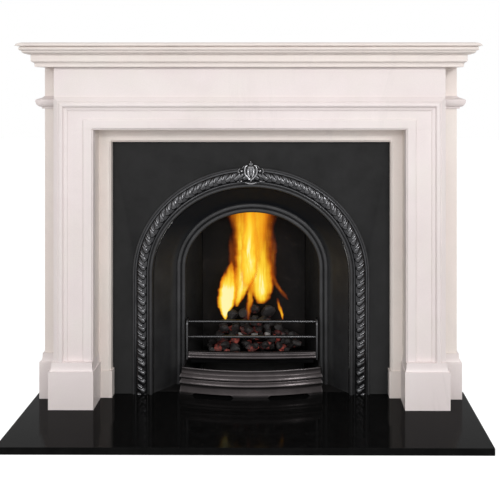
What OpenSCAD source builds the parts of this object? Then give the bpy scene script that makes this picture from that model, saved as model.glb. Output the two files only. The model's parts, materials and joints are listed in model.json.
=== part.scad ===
// Marble fireplace mantel with a granite hearth and an arched cast-iron register grate.
// Millimetres. X runs along the mantel, Y from the room to the chimney, and Z is up.
// The origin is the middle of the footprint, on the underside of the hearth.

/* [Hearth] */
// Width of the hearth slab
hearth_w = 1467; // [1430:1:1800]
// How far the hearth stands out from the wall
hearth_reach = 457; // [380:1:600]
// Thickness of the hearth slab
hearth_t = 22; // [16:1:50]

/* [Shelf] */
// Width of the shelf, nose to nose
shelf_w = 1500; // [1490:1:1700]
// How far the shelf's nose stands out from the wall
shelf_reach = 223; // [218:1:300]
// Height of the shelf's top above the hearth
shelf_h = 1200; // [1170:1:1400]
// Width of the rounded slope round the shelf's top
nose_back = 26; // [8:1:34]
// Height of the rounded slope round the shelf's top
nose_drop = 12; // [6:1:20]
// Height of the round moulding under the shelf's nose
torus_h = 13; // [8:1:20]
// How far the round moulding under the nose stands back from the nose
lip_in = 9; // [5:1:10]
// How far that round moulding bulges
torus_in = 6; // [3:1:7]
// Height of the second round moulding under the nose
reed_h = 8; // [5:1:14]
// How far the second round moulding turns in
reed_in = 13; // [8:1:13]
// Depth and height of the small square steps between mouldings
quirk = 2; // [1:0.5:3]

/* [Cornice] */
// How far the cornice's face lies inside the shelf's nose
cornice_in = 40; // [36:1:46]
// Height of the cornice's flat face
fascia_h = 22; // [14:1:30]
// Height of the hollow moulding under the cornice's face
cavetto_h = 9; // [6:1:14]
// How far that hollow moulding turns in
cavetto_in = 8; // [4:1:8]
// Height of the flat below that hollow moulding
fillet_h = 7; // [2:1:10]
// Thickness of the cornice lengths, front to back
cornice_t = 60; // [50:1:80]

/* [Marble legs and header] */
// Width over the two pilasters
body_w = 1290; // [1260:1:1310]
// Clear width between the two pilasters
leg_gap = 1030; // [1000:1:1060]
// How far the flat faces stand out from the wall
face_reach = 145; // [130:1:160]
// Thickness of the front slabs
slab_t = 30; // [20:1:36]
// Thickness of the side slabs
cheek_t = 25; // [20:1:32]
// Height of the plain frieze between the cornice and the frame moulding
frieze_h = 99; // [80:1:110]
// Height of the lintel, from the frame moulding's top edge to the opening
lintel_h = 108; // [96:1:120]

/* [Frame mouldings] */
// Width of the frame moulding
frame_w = 46; // [40:1:52]
// How far the frame moulding stands out from the face
frame_p = 15; // [8:1:20]
// Width of the low step along the frame moulding's inner edge
frame_step_w = 13; // [8:1:16]
// Height of that low step
frame_step_p = 5; // [3:1:7]
// Width of the bead that runs round the opening
bead_w = 31; // [16:1:36]
// How far that bead stands out from the face
bead_p = 6; // [3:1:10]
// Distance from the opening's edge to that bead
bead_in = 3; // [1:1:8]

/* [Grounds] */
// Width over the set-back marble grounds
ground_w = 1400; // [1380:1:1416]
// How far the grounds stand out from the wall
ground_reach = 55; // [45:1:70]
// Width of the opening between the slips
fire_w = 951; // [930:1:970]
// Height of the slip that shows under the lintel
slip_h = 46; // [30:1:60]
// Size of the eased edge round that opening
slip_edge = 7; // [2:1:12]
// How far the ear mouldings stand out from the grounds
ear_p = 26; // [16:1:34]
// Height of the ear mouldings
ear_h = 43; // [30:1:50]

/* [Feet] */
// Height of the foot blocks up to their small ledge
foot_h = 124; // [90:1:160]
// How far the foot blocks stand out from the wall
foot_reach = 170; // [169:1:190]
// How far a foot stands out past the pilaster's outer side
foot_out = 12; // [9:1:18]
// How far a foot stands into the opening past the pilaster's inner side
foot_in = 6; // [4:1:12]
// Height of the hollow moulding on top of a foot
cove_h = 28; // [12:1:36]
// Depth of that hollow moulding
cove_in = 6; // [3:1:8]
// Depth of the ledge under that hollow moulding
ledge_in = 3; // [1:1:3]
// How far the ground plinths stand out from the grounds
plinth_out = 15; // [9:1:22]
// Height of the slip plinths
slip_plinth_h = 91; // [60:1:110]
// How far the slip plinths stand out from the slips
slip_plinth_out = 5; // [3:1:7]

/* [Fixings] */
// Diameter of the steel dowels
dowel_d = 10; // [6:1:12]
// Length of the steel dowels
dowel_l = 60; // [40:1:80]
// Width of a shelf bracket
bracket_w = 80; // [64:1:110]
// Thickness of the bracket's plate
bracket_t = 4; // [3:0.5:6]
// Reach of the bracket's top leg under the shelf
bracket_reach = 70; // [50:1:90]
// Distance between the two holes in a bracket
bracket_pitch = 44; // [30:1:50]
// Diameter of the bracket's holes
bracket_hole = 6.5; // [4:0.5:8]
// Distance from the middle bracket to the outer ones
bracket_step = 450; // [300:1:520]
// Running gap round pins, dowels and sliding pieces
gap = 0.3; // [0.2:0.05:0.5]

/* [Register plate] */
// How far the iron plate laps behind each side slip
plate_lap = 7; // [5:1:16]
// How far the iron plate laps behind the slip's head
plate_lap_top = 12; // [5:1:24]
// How far the plate's face stands out from the wall
plate_reach = 20; // [16:1:24]
// Thickness of the plate
plate_t = 6; // [5:1:8]
// Width of the plate's stiffening rim
rim_w = 10; // [6:1:14]
// Height of the lower pair of fixing lugs
lug_low = 150; // [80:1:250]
// Height of the upper pair of fixing lugs
lug_high = 700; // [500:1:820]
// Length of a fixing lug
lug_l = 26; // [20:1:32]
// Diameter of the hole in a fixing lug
lug_hole = 9; // [6:0.5:11]

/* [Arch] */
// Height of plain plate above the ornamented band
arch_head = 101; // [70:1:130]
// How much lower the arch rises than it is wide on each side
arch_drop = 38; // [20:1:60]
// Half width over the ornamented band
band_out = 407; // [395:1:415]
// Half width inside the ornamented band
band_in = 338; // [325:1:350]
// Half width of the splayed reveal's inner end
reveal_in = 270; // [262:1:285]
// How far behind the wall the firebox frame lies
reveal_back = 84; // [70:1:100]
// Half width of the fire opening
mouth_in = 237; // [232:1:245]
// Width of the ornament at the top of the arch
crest_w = 104; // [80:1:120]
// Height of the ornament at the top of the arch
crest_h = 80; // [60:1:90]
// How far the ornament's middle lies above the middle of the band
crest_up = 17; // [0:1:24]

/* [Firebox] */
// Depth of the firebox behind the wall
firebox_d = 250; // [235:1:300]
// How far the firebox rises above the top of its mouth
firebox_head = 31; // [20:1:70]
// Thickness of the iron side cheeks
wall_t = 20; // [14:1:26]
// Thickness of the firebrick back
fireback_t = 35; // [25:1:45]
// Half width of the firebox at its back
firebox_back = 190; // [175:1:205]
// Height of the fireback's upper part, which leans forward
lean_h = 290; // [150:1:330]
// How far the fireback leans forward at its top
lean_in = 20; // [0:1:30]
// Thickness of the firebox frame and the throat plate
casting_t = 8; // [6:1:10]
// Width of the smoke throat
throat_w = 280; // [200:1:300]
// Depth of the smoke throat
throat_d = 72; // [50:1:74]
// Thickness of the damper flap
flap_t = 5; // [4:0.5:7]
// Diameter of the damper's hinge pin
pin_d = 8; // [6:0.5:10]
// Angle at which the open flap leans back past upright
flap_lean = 6; // [3:1:12]
// Height of the stop behind the flap, above the hinge pin
stop_up = 45; // [30:1:60]

/* [Grate] */
// Height of the upper front bar
bar_high = 225; // [215:1:250]
// Height of the lower front bar
bar_low = 171; // [160:1:190]
// Diameter of the front bars
bar_d = 13; // [10:1:16]
// Height of the bowed bottom rail's underside
rail_z = 93; // [86:1:100]
// Height of the bowed bottom rail
rail_h = 28; // [20:1:34]
// How far the bottom rail bows forward
rail_bow = 14; // [6:1:20]
// Half width of the front bars' frame
bars_half = 233; // [226:1:235]
// Thickness of the plates at the front bars' ends
bars_plate = 8; // [5:1:10]
// How far behind the wall the front bars lie
bars_back = 66; // [60:1:70]
// Half depth of the end plates and of the bowed rail
rail_half = 12; // [9:1:14]
// Thickness of the bottom grate
grate_t = 12; // [8:1:16]
// Width of the bottom grate's solid edge
grate_edge = 14; // [8:1:18]
// Width of one slot in the bottom grate
slot_w = 14; // [10:1:18]
// Number of slots in the bottom grate
slots = 12; // [6:1:13]

/* [Fuel] */
// Width of the heap of coal
heap_w = 352; // [300:1:360]
// Height of the heap of coal over the grate
heap_h = 176; // [120:1:200]

/* [Ash pan] */
// Half width of the ash cover
cover_half = 246; // [235:1:255]
// Height of the ash cover
cover_h = 90; // [76:1:92]
// How far the ash cover's ends stand out from the wall
cover_reach = 20; // [10:1:40]
// How far the ash cover bows forward
cover_bow = 45; // [30:1:60]
// Thickness of the ash cover's casting
cover_t = 5; // [4:1:7]
// Height of the ash cover's upper ridge
ridge_high = 57; // [52:1:62]
// Height of the ash cover's lower ridge
ridge_low = 37; // [30:1:44]
// How far the ash cover's top sets back from its ridges
cover_set = 16; // [10:1:20]
// Half width of the tongue in the middle of the ash cover's foot
tongue_half = 64; // [50:1:80]
// Width of the feet at the ash cover's ends
cover_foot = 50; // [30:1:60]
// Height of the cut-outs between tongue and feet
cover_cut = 8; // [4:1:12]
// Half width of the ash pan
pan_half = 185; // [150:1:195]
// Height of the ash pan
pan_h = 58; // [40:1:66]
// Thickness of the ash pan's sheet
pan_t = 2; // [1.5:0.5:3]

/* [Hidden] */
$fn = 48;

marble = "#e8dfdb";
granite = "#161617";
iron = "#2c2c2f";
steel = "#a9a9ab";
firebrick = "#6d5c4e";
coal = "#2b2624";

wall_y = (hearth_reach - firebox_d) / 2;
shelf_t = nose_drop + torus_h + reed_h + 3 * quirk;
shelf_z = shelf_h - shelf_t;
cornice_h = fascia_h + cavetto_h + fillet_h + quirk;
cornice_z = shelf_z - cornice_h;
cornice_half = shelf_w / 2 - cornice_in;
cornice_reach = shelf_reach - cornice_in;
frame_top = cornice_z - frieze_h;
header_z = frame_top - lintel_h;
fire_h = header_z - slip_h;
body_half = body_w / 2;
leg_half = leg_gap / 2;
slab_back = face_reach - slab_t;
ground_half = ground_w / 2;
fire_half = fire_w / 2;
rebate_w = lug_l + plate_lap + 4;
rebate_d = plate_reach + gap;
foot_top = foot_h + cove_h;
dowel_y = (ground_reach + slab_back) / 2;
outer_dowel_x = body_half - cheek_t / 2;
inner_dowel_x = leg_half + cheek_t / 2;
plate_half = fire_half + plate_lap;
plate_h = fire_h + plate_lap_top;
lug_x = plate_half + lug_l / 2;
arch_spring = plate_h - arch_head - band_out + arch_drop;
arch_steps = 24;
band_lap = 10;
firebox_h = arch_spring + mouth_in - arch_drop + firebox_head;
lean_z = firebox_h - lean_h;
frame_back = reveal_back + casting_t;
flange_out = 48;
bolt_d = casting_t;
bolt_a = mouth_in + wall_t + bolt_d + 4;
hinge_y = fireback_t + lean_in - firebox_d;
hinge_z = firebox_h + casting_t + 12;
knuckle_r = pin_d / 2 + 3;
rim_t = 6;
throat_back = hinge_y + knuckle_r + 1 + rim_t;
throat_front = throat_back + throat_d;
grate_seat = rail_z - gap - grate_t;
grate_half = firebox_back - 2;
grate_back = fireback_t - firebox_d + 1;
bed_d = firebox_d - fireback_t - frame_back;
pan_back = firebox_d - fireback_t - 10;
pan_front = cover_reach - 12;
cover_r = (cover_half * cover_half + cover_bow * cover_bow) / (2 * cover_bow);
rail_r = (bars_half * bars_half + rail_bow * rail_bow) / (2 * rail_bow);
rail_angle = asin(bars_half / rail_r);

// Local frame for every module: X as it is, Y out from the wall, Z up from the hearth's top.
module stand() translate([0, wall_y, hearth_t]) mirror([0, 1, 0]) children();

// Left-hand copy of a right-hand piece.
module left() mirror([1, 0, 0]) children();

// Block between two corners.
module block(a, b) translate(a) cube(b - a);

// Outline of reach and height, run along X.
module across(outline, x0, x1) translate([x0, 0, 0]) rotate([90, 0, 90]) linear_extrude(x1 - x0) polygon(outline);

// Outline of X and height, run out from the wall.
module outward(outline, y0, y1) translate([0, y1, 0]) rotate([90, 0, 0]) linear_extrude(y1 - y0) polygon(outline);

// Outline of X and reach, run upwards.
module upward(outline, z0, z1) translate([0, 0, z0]) linear_extrude(z1 - z0) polygon(outline);

// Quarter of an oval from one point to another, bulging away from the corner [c].
function quarter(c, from, to, n = 6) =
    [for (i = [0:n]) let (t = 90 * i / n) c + (from - c) * cos(t) + (to - c) * sin(t)];

// Half-round moulding that stands [d] proud between two heights, as inset and height.
function half_round(inset, d, high, low) = let (c = [inset + d, (high + low) / 2]) concat(
    quarter(c, [inset + d, high], [inset, c[1]], 4), quarter(c, [inset, c[1]], [inset + d, low], 4));

// Shelf edge as inset from the nose and height from the shelf's underside, top first.
function shelf_edge() = let (under = shelf_t - nose_drop, reed_out = lip_in + torus_in + quirk) concat(
    quarter([nose_back, under], [nose_back, shelf_t], [0, under]),
    [[lip_in + torus_in, under]],
    half_round(lip_in, torus_in, under - quirk, under - quirk - torus_h),
    [[reed_out, under - quirk - torus_h]],
    quarter([reed_out + reed_in, reed_h + quirk], [reed_out, reed_h + quirk], [reed_out + reed_in, quirk]),
    [[reed_out + reed_in, 0]]);

// Cornice edge as inset from its face and height from its underside, top first.
function cornice_edge() = concat(
    [[0, cornice_h], [0, cornice_h - fascia_h], [quirk, cornice_h - fascia_h]],
    quarter([quirk, fillet_h], [quirk, fillet_h + cavetto_h], [quirk + cavetto_in, fillet_h]),
    [[quirk + cavetto_in, 0]]);

// Slab whose front and two ends carry one edge moulding.
module moulded_slab(edge, half, reach, z) {
    flipped = [for (i = [len(edge) - 1:-1:0]) edge[i]];
    high = edge[0][1];
    intersection() {
        across(concat([[0, z], [0, z + high]], [for (e = edge) [reach - e[0], z + e[1]]]), -half, half);
        outward(concat([for (e = edge) [half - e[0], z + e[1]]], [for (e = flipped) [e[0] - half, z + e[1]]]),
            0, reach);
    }
}

// Plan of a front length with mitred ends, and of the right-hand return that meets it.
function mitre_front(half, reach, t) =
    [[-half - 1, reach + 1], [half + 1, reach + 1], [half - t, reach - t], [t - half, reach - t]];
function mitre_return(half, reach, t) =
    [[half + 1, reach + 1], [half + 1, 0], [half - t, 0], [half - t, reach - t]];

// Upright outline of a mitred head and of its right-hand leg, for mouldings round the opening.
function mitre_head(half, top, w) =
    [[-half - 1, top + 1], [half + 1, top + 1], [half - w, top - w], [w - half, top - w]];
function mitre_leg(half, top, w, bottom) =
    [[half + 1, top + 1], [half + 1, bottom], [half - w, bottom], [half - w, top - w]];

// Frame moulding as distance in from its outer edge and height over the face: a slope, a
// round moulding and a lower step with a falling face.
function frame_edge() = let (slope = frame_w * 0.3, low = frame_w - frame_step_w) concat(
    [[0, 0], [0, frame_p / 4], [slope, frame_p * 0.75], [slope + quirk, frame_p * 0.65]],
    quarter([low - 6, frame_p * 0.65], [slope + quirk, frame_p * 0.65], [low - 6, frame_p], 4),
    quarter([low - 6, frame_p - 6], [low - 6, frame_p], [low, frame_p - 6], 4),
    [[low, frame_step_p + 1], [frame_w - 4, frame_step_p - 1], [frame_w - 1, frame_step_p / 2], [frame_w, 0]]);

// Opening bead as distance out from the opening's edge and height over the face.
function bead_edge() = concat(
    [[bead_in, -1], [bead_in, bead_p / 3]],
    quarter([bead_in + 5, bead_p / 3], [bead_in, bead_p / 3], [bead_in + 5, bead_p], 3),
    quarter([bead_in + bead_w - 5, bead_p / 3], [bead_in + bead_w - 5, bead_p],
        [bead_in + bead_w, bead_p / 3], 3),
    [[bead_in + bead_w, -1]]);

module hearth_slab() color(granite) stand()
    block([-hearth_w / 2, 0, -hearth_t], [hearth_w / 2, hearth_reach, 0]);

module back_hearth() color(firebrick) stand()
    block([-plate_half, -firebox_d, -hearth_t], [plate_half, 0, 0]);

module shelf() color(marble) stand()
    moulded_slab(shelf_edge(), shelf_w / 2, shelf_reach, shelf_z);

// Right half of the cornice turns the corner; the three lengths meet on mitres.
module cornice(plan) color(marble) stand() intersection() {
    moulded_slab(cornice_edge(), cornice_half, cornice_reach, cornice_z);
    upward(plan, cornice_z - 1, shelf_z + 1);
}
module cornice_front() cornice(mitre_front(cornice_half, cornice_reach, cornice_t));
module cornice_right() cornice(mitre_return(cornice_half, cornice_reach, cornice_t));
module cornice_left() left() cornice_right();

// Bead that runs up the legs and across the head, in one piece with the slabs.
module opening_bead() {
    half = leg_half + bead_in + bead_w;
    top = header_z + bead_in + bead_w;
    w = bead_w + bead_in;
    intersection() {
        across([for (e = bead_edge()) [face_reach + e[1], header_z + e[0]]], -half, half);
        outward(mitre_head(half, top, w), face_reach - 1, face_reach + bead_p);
    }
    for (side = [0, 1]) mirror([side, 0, 0]) intersection() {
        upward([for (e = bead_edge()) [leg_half + e[0], face_reach + e[1]]], foot_top, top);
        outward(mitre_leg(half, top, w, foot_top), face_reach - 1, face_reach + bead_p);
    }
}

module header_face() color(marble) stand() {
    block([-body_half, slab_back, header_z], [body_half, face_reach, cornice_z]);
    intersection() {
        opening_bead();
        block([-body_half, slab_back, header_z], [body_half, foot_reach, cornice_z]);
    }
}

module header_soffit() color(marble) stand()
    block([cheek_t - body_half, ground_reach, header_z], [body_half - cheek_t, slab_back, header_z + cheek_t]);

module header_cheek_right() color(marble) stand() difference() {
    block([body_half - cheek_t, ground_reach, header_z], [body_half, slab_back, cornice_z]);
    header_dowels(gap);
}
module header_cheek_left() left() header_cheek_right();

// Frame moulding, planted on the header and the pilasters.
module frame_head() color(marble) stand() intersection() {
    across([for (e = frame_edge()) [face_reach + e[1], frame_top - e[0]]], -body_half, body_half);
    outward(mitre_head(body_half, frame_top, frame_w), face_reach, face_reach + frame_p + 1);
}
module frame_leg_right() color(marble) stand() intersection() {
    upward([for (e = frame_edge()) [body_half - e[0], face_reach + e[1]]], foot_top, frame_top);
    outward(mitre_leg(body_half, frame_top, frame_w, foot_top), face_reach, face_reach + frame_p + 1);
}
module frame_leg_left() left() frame_leg_right();

// Space behind the slips for the iron plate, and the eased edge round the opening.
module slip_cut() {
    block([-fire_half - rebate_w, -1, -1], [fire_half + rebate_w, rebate_d, plate_h + gap]);
    across([[ground_reach - slip_edge, fire_h], [ground_reach, fire_h + slip_edge],
        [ground_reach + 1, fire_h - 1]], -fire_half, fire_half);
    for (side = [0, 1]) mirror([side, 0, 0]) upward([[fire_half, ground_reach - slip_edge],
        [fire_half + slip_edge, ground_reach], [fire_half - 1, ground_reach + 1]], -1, fire_h);
}

module ground_top() color(marble) stand() difference() {
    block([-ground_half, 0, fire_h], [ground_half, ground_reach, cornice_z]);
    slip_cut();
}
module ground_right() color(marble) stand() difference() {
    block([fire_half, 0, 0], [ground_half, ground_reach, fire_h]);
    slip_cut();
}
module ground_left() left() ground_right();

// Ear moulding that turns round the outer edge of the ground, level with the frame's head.
function ear_edge() = concat(
    [[0, ear_h], [ear_p * 0.3, ear_h * 0.86], [ear_p * 0.92, ear_h * 0.74]],
    quarter([ear_p * 0.35, ear_h * 0.66], [ear_p, ear_h * 0.66], [ear_p * 0.35, ear_h * 0.14], 5),
    [[ear_p * 0.3, 0], [0, 0]]);
module ground_ear_right() color(marble) stand() {
    z = frame_top + 3 - ear_h;
    difference() {
        intersection() {
            across([for (e = ear_edge()) [ground_reach + e[0], z + e[1]], [0, z], [0, z + ear_h]],
                body_half, ground_half + ear_p);
            outward([for (e = ear_edge()) [ground_half + e[0], z + e[1]], [body_half, z],
                [body_half, z + ear_h]], 0, ground_reach + ear_p);
        }
        block([0, -1, 0], [ground_half, ground_reach, shelf_h]);
    }
}
module ground_ear_left() left() ground_ear_right();

// Two dowels in each foot and one in each outer cheek's top, for one side.
module foot_dowels(slack) for (x = [outer_dowel_x, inner_dowel_x])
    translate([x, dowel_y, foot_top - dowel_l / 2]) cylinder(h = dowel_l, d = dowel_d + slack);
module header_dowels(slack) translate([outer_dowel_x, dowel_y, header_z - dowel_l / 2])
    cylinder(h = dowel_l, d = dowel_d + slack);
module steel_dowels() color(steel) stand() for (side = [0, 1]) mirror([side, 0, 0]) {
    foot_dowels(0);
    header_dowels(0);
}

module pilaster_face_right() color(marble) stand() {
    block([leg_half, slab_back, foot_top], [body_half, face_reach, header_z]);
    intersection() {
        opening_bead();
        block([leg_half, slab_back, foot_top], [body_half, foot_reach, header_z]);
    }
}
module pilaster_face_left() left() pilaster_face_right();

module outer_cheek_right() color(marble) stand() difference() {
    block([body_half - cheek_t, ground_reach, foot_top], [body_half, slab_back, header_z]);
    foot_dowels(gap);
    header_dowels(gap);
}
module outer_cheek_left() left() outer_cheek_right();

module inner_cheek_right() color(marble) stand() difference() {
    block([leg_half, ground_reach, foot_top], [leg_half + cheek_t, slab_back, header_z]);
    foot_dowels(gap);
}
module inner_cheek_left() left() inner_cheek_right();

// Top of a foot or plinth: a ledge of [a] and a hollow of [b], as inset and height.
function cove_edge(a, b) = concat([[0, 0], [0, foot_h], [a, foot_h]],
    [for (i = [0:6]) let (t = 15 * i) [a + b * sin(t), foot_top - cove_h * cos(t)]]);

module foot_right() color(marble) stand() difference() {
    x0 = leg_half - foot_in;
    x1 = body_half + foot_out;
    inner = cove_edge(foot_in * 0.25, foot_in * 0.75);
    outer = cove_edge(ledge_in, cove_in);
    rear = [for (i = [len(outer) - 1:-1:0]) outer[i]];
    intersection() {
        across(concat([for (e = outer) [foot_reach - e[0], e[1]]], [[ground_reach, foot_top], [ground_reach, 0]]),
            x0, x1);
        outward(concat([for (e = inner) [x0 + e[0], e[1]]], [for (e = rear) [x1 - e[0], e[1]]]),
            ground_reach, foot_reach);
    }
    foot_dowels(gap);
}
module foot_left() left() foot_right();

module ground_plinth_right() color(marble) stand() difference() {
    x1 = ground_half + plinth_out;
    y1 = ground_reach + plinth_out;
    edge = cove_edge(ledge_in, cove_in);
    intersection() {
        across(concat([for (e = edge) [y1 - e[0], e[1]]], [[0, foot_top], [0, 0]]), body_half + foot_out, x1);
        outward(concat([for (e = edge) [x1 - e[0], e[1]]], [[body_half, foot_top], [body_half, 0]]), 0, y1);
    }
    block([0, -1, -1], [ground_half, ground_reach, foot_top + 1]);
}
module ground_plinth_left() left() ground_plinth_right();

module slip_plinth_right() color(marble) stand() difference() {
    block([fire_half - slip_plinth_out, rebate_d, 0],
        [leg_half - foot_in, ground_reach + slip_plinth_out, slip_plinth_h]);
    block([fire_half, 0, -1], [leg_half, ground_reach, slip_plinth_h + 1]);
}
module slip_plinth_left() left() slip_plinth_right();

// Angle brackets in the hollow under the shelf, each with two open holes to the wall.
module shelf_brackets() color(steel) stand() for (i = [-1:1]) translate([i * bracket_step, 0, 0]) {
    z = (cornice_z + shelf_z - bracket_t) / 2;
    block([-bracket_w / 2, 0, shelf_z - bracket_t], [bracket_w / 2, bracket_reach, shelf_z]);
    difference() {
        block([-bracket_w / 2, 0, cornice_z], [bracket_w / 2, bracket_t, shelf_z - bracket_t]);
        for (side = [-1, 1]) translate([side * bracket_pitch / 2, -1, z])
            rotate([-90, 0, 0]) cylinder(h = bracket_t + 2, d = bracket_hole);
    }
}

// Point on the arch of half width [a]: legs first and last, the curve between them.
function arch_point(a, k) = k == 0 ? [a, 0]
    : k == arch_steps + 2 ? [-a, 0]
    : let (t = 180 * (k - 1) / arch_steps) [a * cos(t), arch_spring + (a - arch_drop) * sin(t)];
function arch_outline(a) = [for (k = [0:arch_steps + 2]) arch_point(a, k)];

// Curved head of a moulding that follows the arch; its section lists half width and reach.
module arch_sweep(section) {
    m = len(section);
    last = arch_steps;
    points = [for (k = [0:last]) for (s = section) let (p = arch_point(s[0], k + 1)) [p[0], s[1], p[1]]];
    skin = [for (k = [0:last - 1]) for (j = [0:m - 1]) let (a = k * m + j, b = k * m + (j + 1) % m)
        each [[a, b + m, b], [a, a + m, b + m]]];
    polyhedron(points, concat([[for (j = [0:m - 1]) j]], skin, [[for (j = [m - 1:-1:0]) last * m + j]]));
}

module lug_holes(d) for (x = [-lug_x, lug_x], z = [lug_low, lug_high])
    translate([x, -1, z]) rotate([-90, 0, 0]) cylinder(h = plate_reach + 2, d = d);

module register_plate() color(iron) stand() difference() {
    union() {
        block([-plate_half, plate_reach - plate_t, 0], [plate_half, plate_reach, plate_h]);
        difference() {
            block([-plate_half, 0, 0], [plate_half, plate_reach, plate_h]);
            block([rim_w - plate_half, -1, -1], [plate_half - rim_w, plate_reach + 1, plate_h - rim_w]);
        }
        for (x = [-lug_x, lug_x], z = [lug_low, lug_high])
            block([x - lug_l / 2, 0, z - lug_l / 2], [x + lug_l / 2, plate_t, z + lug_l / 2]);
    }
    outward(concat([[band_out - band_lap, -1]], arch_outline(band_out - band_lap),
        [[band_lap - band_out, -1]]), -1, plate_reach + 1);
    lug_holes(lug_hole);
}

// Section of the ornamented band: a thin outer bead, a flat field and a broad inner bead.
function band_section() = let (f = plate_reach + 4) [
    [band_out, plate_reach], [band_out, f], [band_out - 1, f + 4], [band_out - 4, f + 5], [band_out - 8, f],
    [band_in + 17, f - 1], [band_in + 14, f + 5], [band_in + 8, f + 7], [band_in + 2, f + 5], [band_in, f],
    [band_in, plate_reach - plate_t], [band_out - band_lap, plate_reach - plate_t],
    [band_out - band_lap, plate_reach]];
module arch_band() color(iron) stand() arch_sweep(band_section());
module band_leg_right() color(iron) stand() upward(band_section(), 0, arch_spring);
module band_leg_left() left() band_leg_right();

// Oval boss with side scrolls on the crown of the band.
module arch_crest() color(iron) stand() difference() {
    z = arch_spring + (band_out + band_in) / 2 - arch_drop + crest_up;
    translate([0, plate_reach, z]) rotate([-90, 0, 0]) linear_extrude(26) rotate([180, 0, 0]) crest_outline();
    outward(arch_outline(band_out + gap), 0, plate_reach + 11 + gap);
}
module crest_outline() {
    hull() {
        circle(d = crest_w * 0.42);
        translate([0, crest_h / 2 - 3]) circle(r = 3);
        translate([0, 3 - crest_h / 2]) circle(r = 3);
    }
    for (side = [-1, 1]) {
        translate([side * crest_w * 0.3, crest_h * 0.1]) circle(d = crest_w * 0.36);
        translate([side * crest_w * 0.4, crest_h * 0.26]) circle(d = crest_w * 0.2);
    }
}

// Section of the splayed reveal between the band and the firebox frame, with its double bead.
function reveal_section() = let (f = -reveal_back, a = reveal_in, b = mouth_in) [
    [band_in - gap, plate_reach], [a, f + 6], [a - 2, f + 10], [a - 8, f + 12], [a - 14, f + 10],
    [a - 16, f + 4], [b + 15, f + 3], [b + 13, f + 7], [b + 8, f + 9], [b + 2, f + 7], [b, f + 3], [b, f],
    [a + 9, f], [band_in - gap, plate_reach - plate_t - 3]];
module arch_reveal() color(iron) stand() arch_sweep(reveal_section());
module reveal_leg_right() color(iron) stand() upward(reveal_section(), 0, arch_spring);
module reveal_leg_left() left() reveal_leg_right();

module bolt_places() for (x = [-bolt_a, bolt_a], z = [arch_spring * 0.3, arch_spring * 0.9])
    translate([x, 0, z]) children();
module frame_bolts() color(steel) stand() bolt_places() {
    translate([0, -frame_back - casting_t, 0]) rotate([-90, 0, 0])
        cylinder(h = 2 * casting_t - 1, d = bolt_d);
    translate([0, -frame_back - casting_t - 5, 0]) rotate([-90, 0, 0]) cylinder(h = 5, d = bolt_d * 1.8, $fn = 6);
}
module bolt_holes() bolt_places() translate([0, -frame_back - casting_t - 1, 0])
    rotate([-90, 0, 0]) cylinder(h = 2 * casting_t + 2, d = bolt_d + gap);

// Flat arched frame that closes the front of the firebox round the fire opening.
module firebox_frame() color(iron) stand() difference() {
    outward(arch_outline(mouth_in + flange_out), -frame_back, -reveal_back);
    outward(concat([[mouth_in, -1]], arch_outline(mouth_in), [[-mouth_in, -1]]), -frame_back - 1, 1 - reveal_back);
    bolt_holes();
}

module fireback() color(firebrick) stand() across([[-firebox_d, 0], [fireback_t - firebox_d, 0],
    [fireback_t - firebox_d, lean_z], [fireback_t - firebox_d + lean_in, firebox_h], [-firebox_d, firebox_h]],
    -firebox_back, firebox_back);

// Side of the firebox: a front flange, a splayed wall and a ledge that carries the grate.
module fire_cheek_right() color(iron) stand() difference() {
    x0 = mouth_in + 3;
    union() {
        upward([[x0, -frame_back], [firebox_back, fireback_t - firebox_d], [firebox_back, -firebox_d],
            [firebox_back + wall_t, -firebox_d], [x0 + wall_t, -frame_back - casting_t],
            [mouth_in + flange_out, -frame_back - casting_t], [mouth_in + flange_out, -frame_back]],
            0, firebox_h);
        block([firebox_back - 10, fireback_t - firebox_d, grate_seat - 14],
            [firebox_back + 4, -frame_back - 25, grate_seat]);
    }
    bolt_holes();
}
module fire_cheek_left() left() fire_cheek_right();

// Top plate of the firebox with the smoke throat, its rim, the hinge ears and the flap's stop.
module throat_plate() color(iron) stand() {
    z = firebox_h + casting_t;
    rim_top = hinge_z - flap_t / 2 - gap;
    half = throat_w / 2;
    stop_y = hinge_y - flap_t / 2 / cos(flap_lean) - stop_up * tan(flap_lean) - gap;
    difference() {
        union() {
            block([-mouth_in - wall_t, -firebox_d, firebox_h], [mouth_in + wall_t, -frame_back, z]);
            block([-half - rim_t, throat_back - rim_t, z], [half + rim_t, throat_front + rim_t, rim_top]);
        }
        block([-half, throat_back, 0], [half, throat_front, hinge_z]);
    }
    difference() {
        for (side = [0, 1]) mirror([side, 0, 0])
            block([half + 8, hinge_y - pin_d, z], [half + 16, hinge_y + pin_d, hinge_z + pin_d]);
        translate([-throat_w, hinge_y, hinge_z]) rotate([0, 90, 0]) cylinder(h = 2 * throat_w, d = pin_d + gap / 3);
    }
    block([-half / 2, stop_y - 5, z], [half / 2, stop_y, hinge_z + stop_up]);
}

// Smoke flap, shown open and leaning back on its stop.
module damper_flap() color(iron) stand() translate([0, hinge_y, hinge_z]) rotate([flap_lean, 0, 0]) difference() {
    half = throat_w / 2 + 5;
    union() {
        block([-half, -flap_t / 2, 0], [half, flap_t / 2, throat_front + rim_t / 2 - hinge_y]);
        translate([-half, 0, 0]) rotate([0, 90, 0]) cylinder(h = 2 * half, r = knuckle_r);
    }
    translate([-half - 1, 0, 0]) rotate([0, 90, 0]) cylinder(h = 2 * half + 2, d = pin_d + gap / 3);
}
module damper_pin() color(steel) stand() translate([-throat_w / 2 - 20, hinge_y, hinge_z])
    rotate([0, 90, 0]) cylinder(h = throat_w + 40, d = pin_d);

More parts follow.
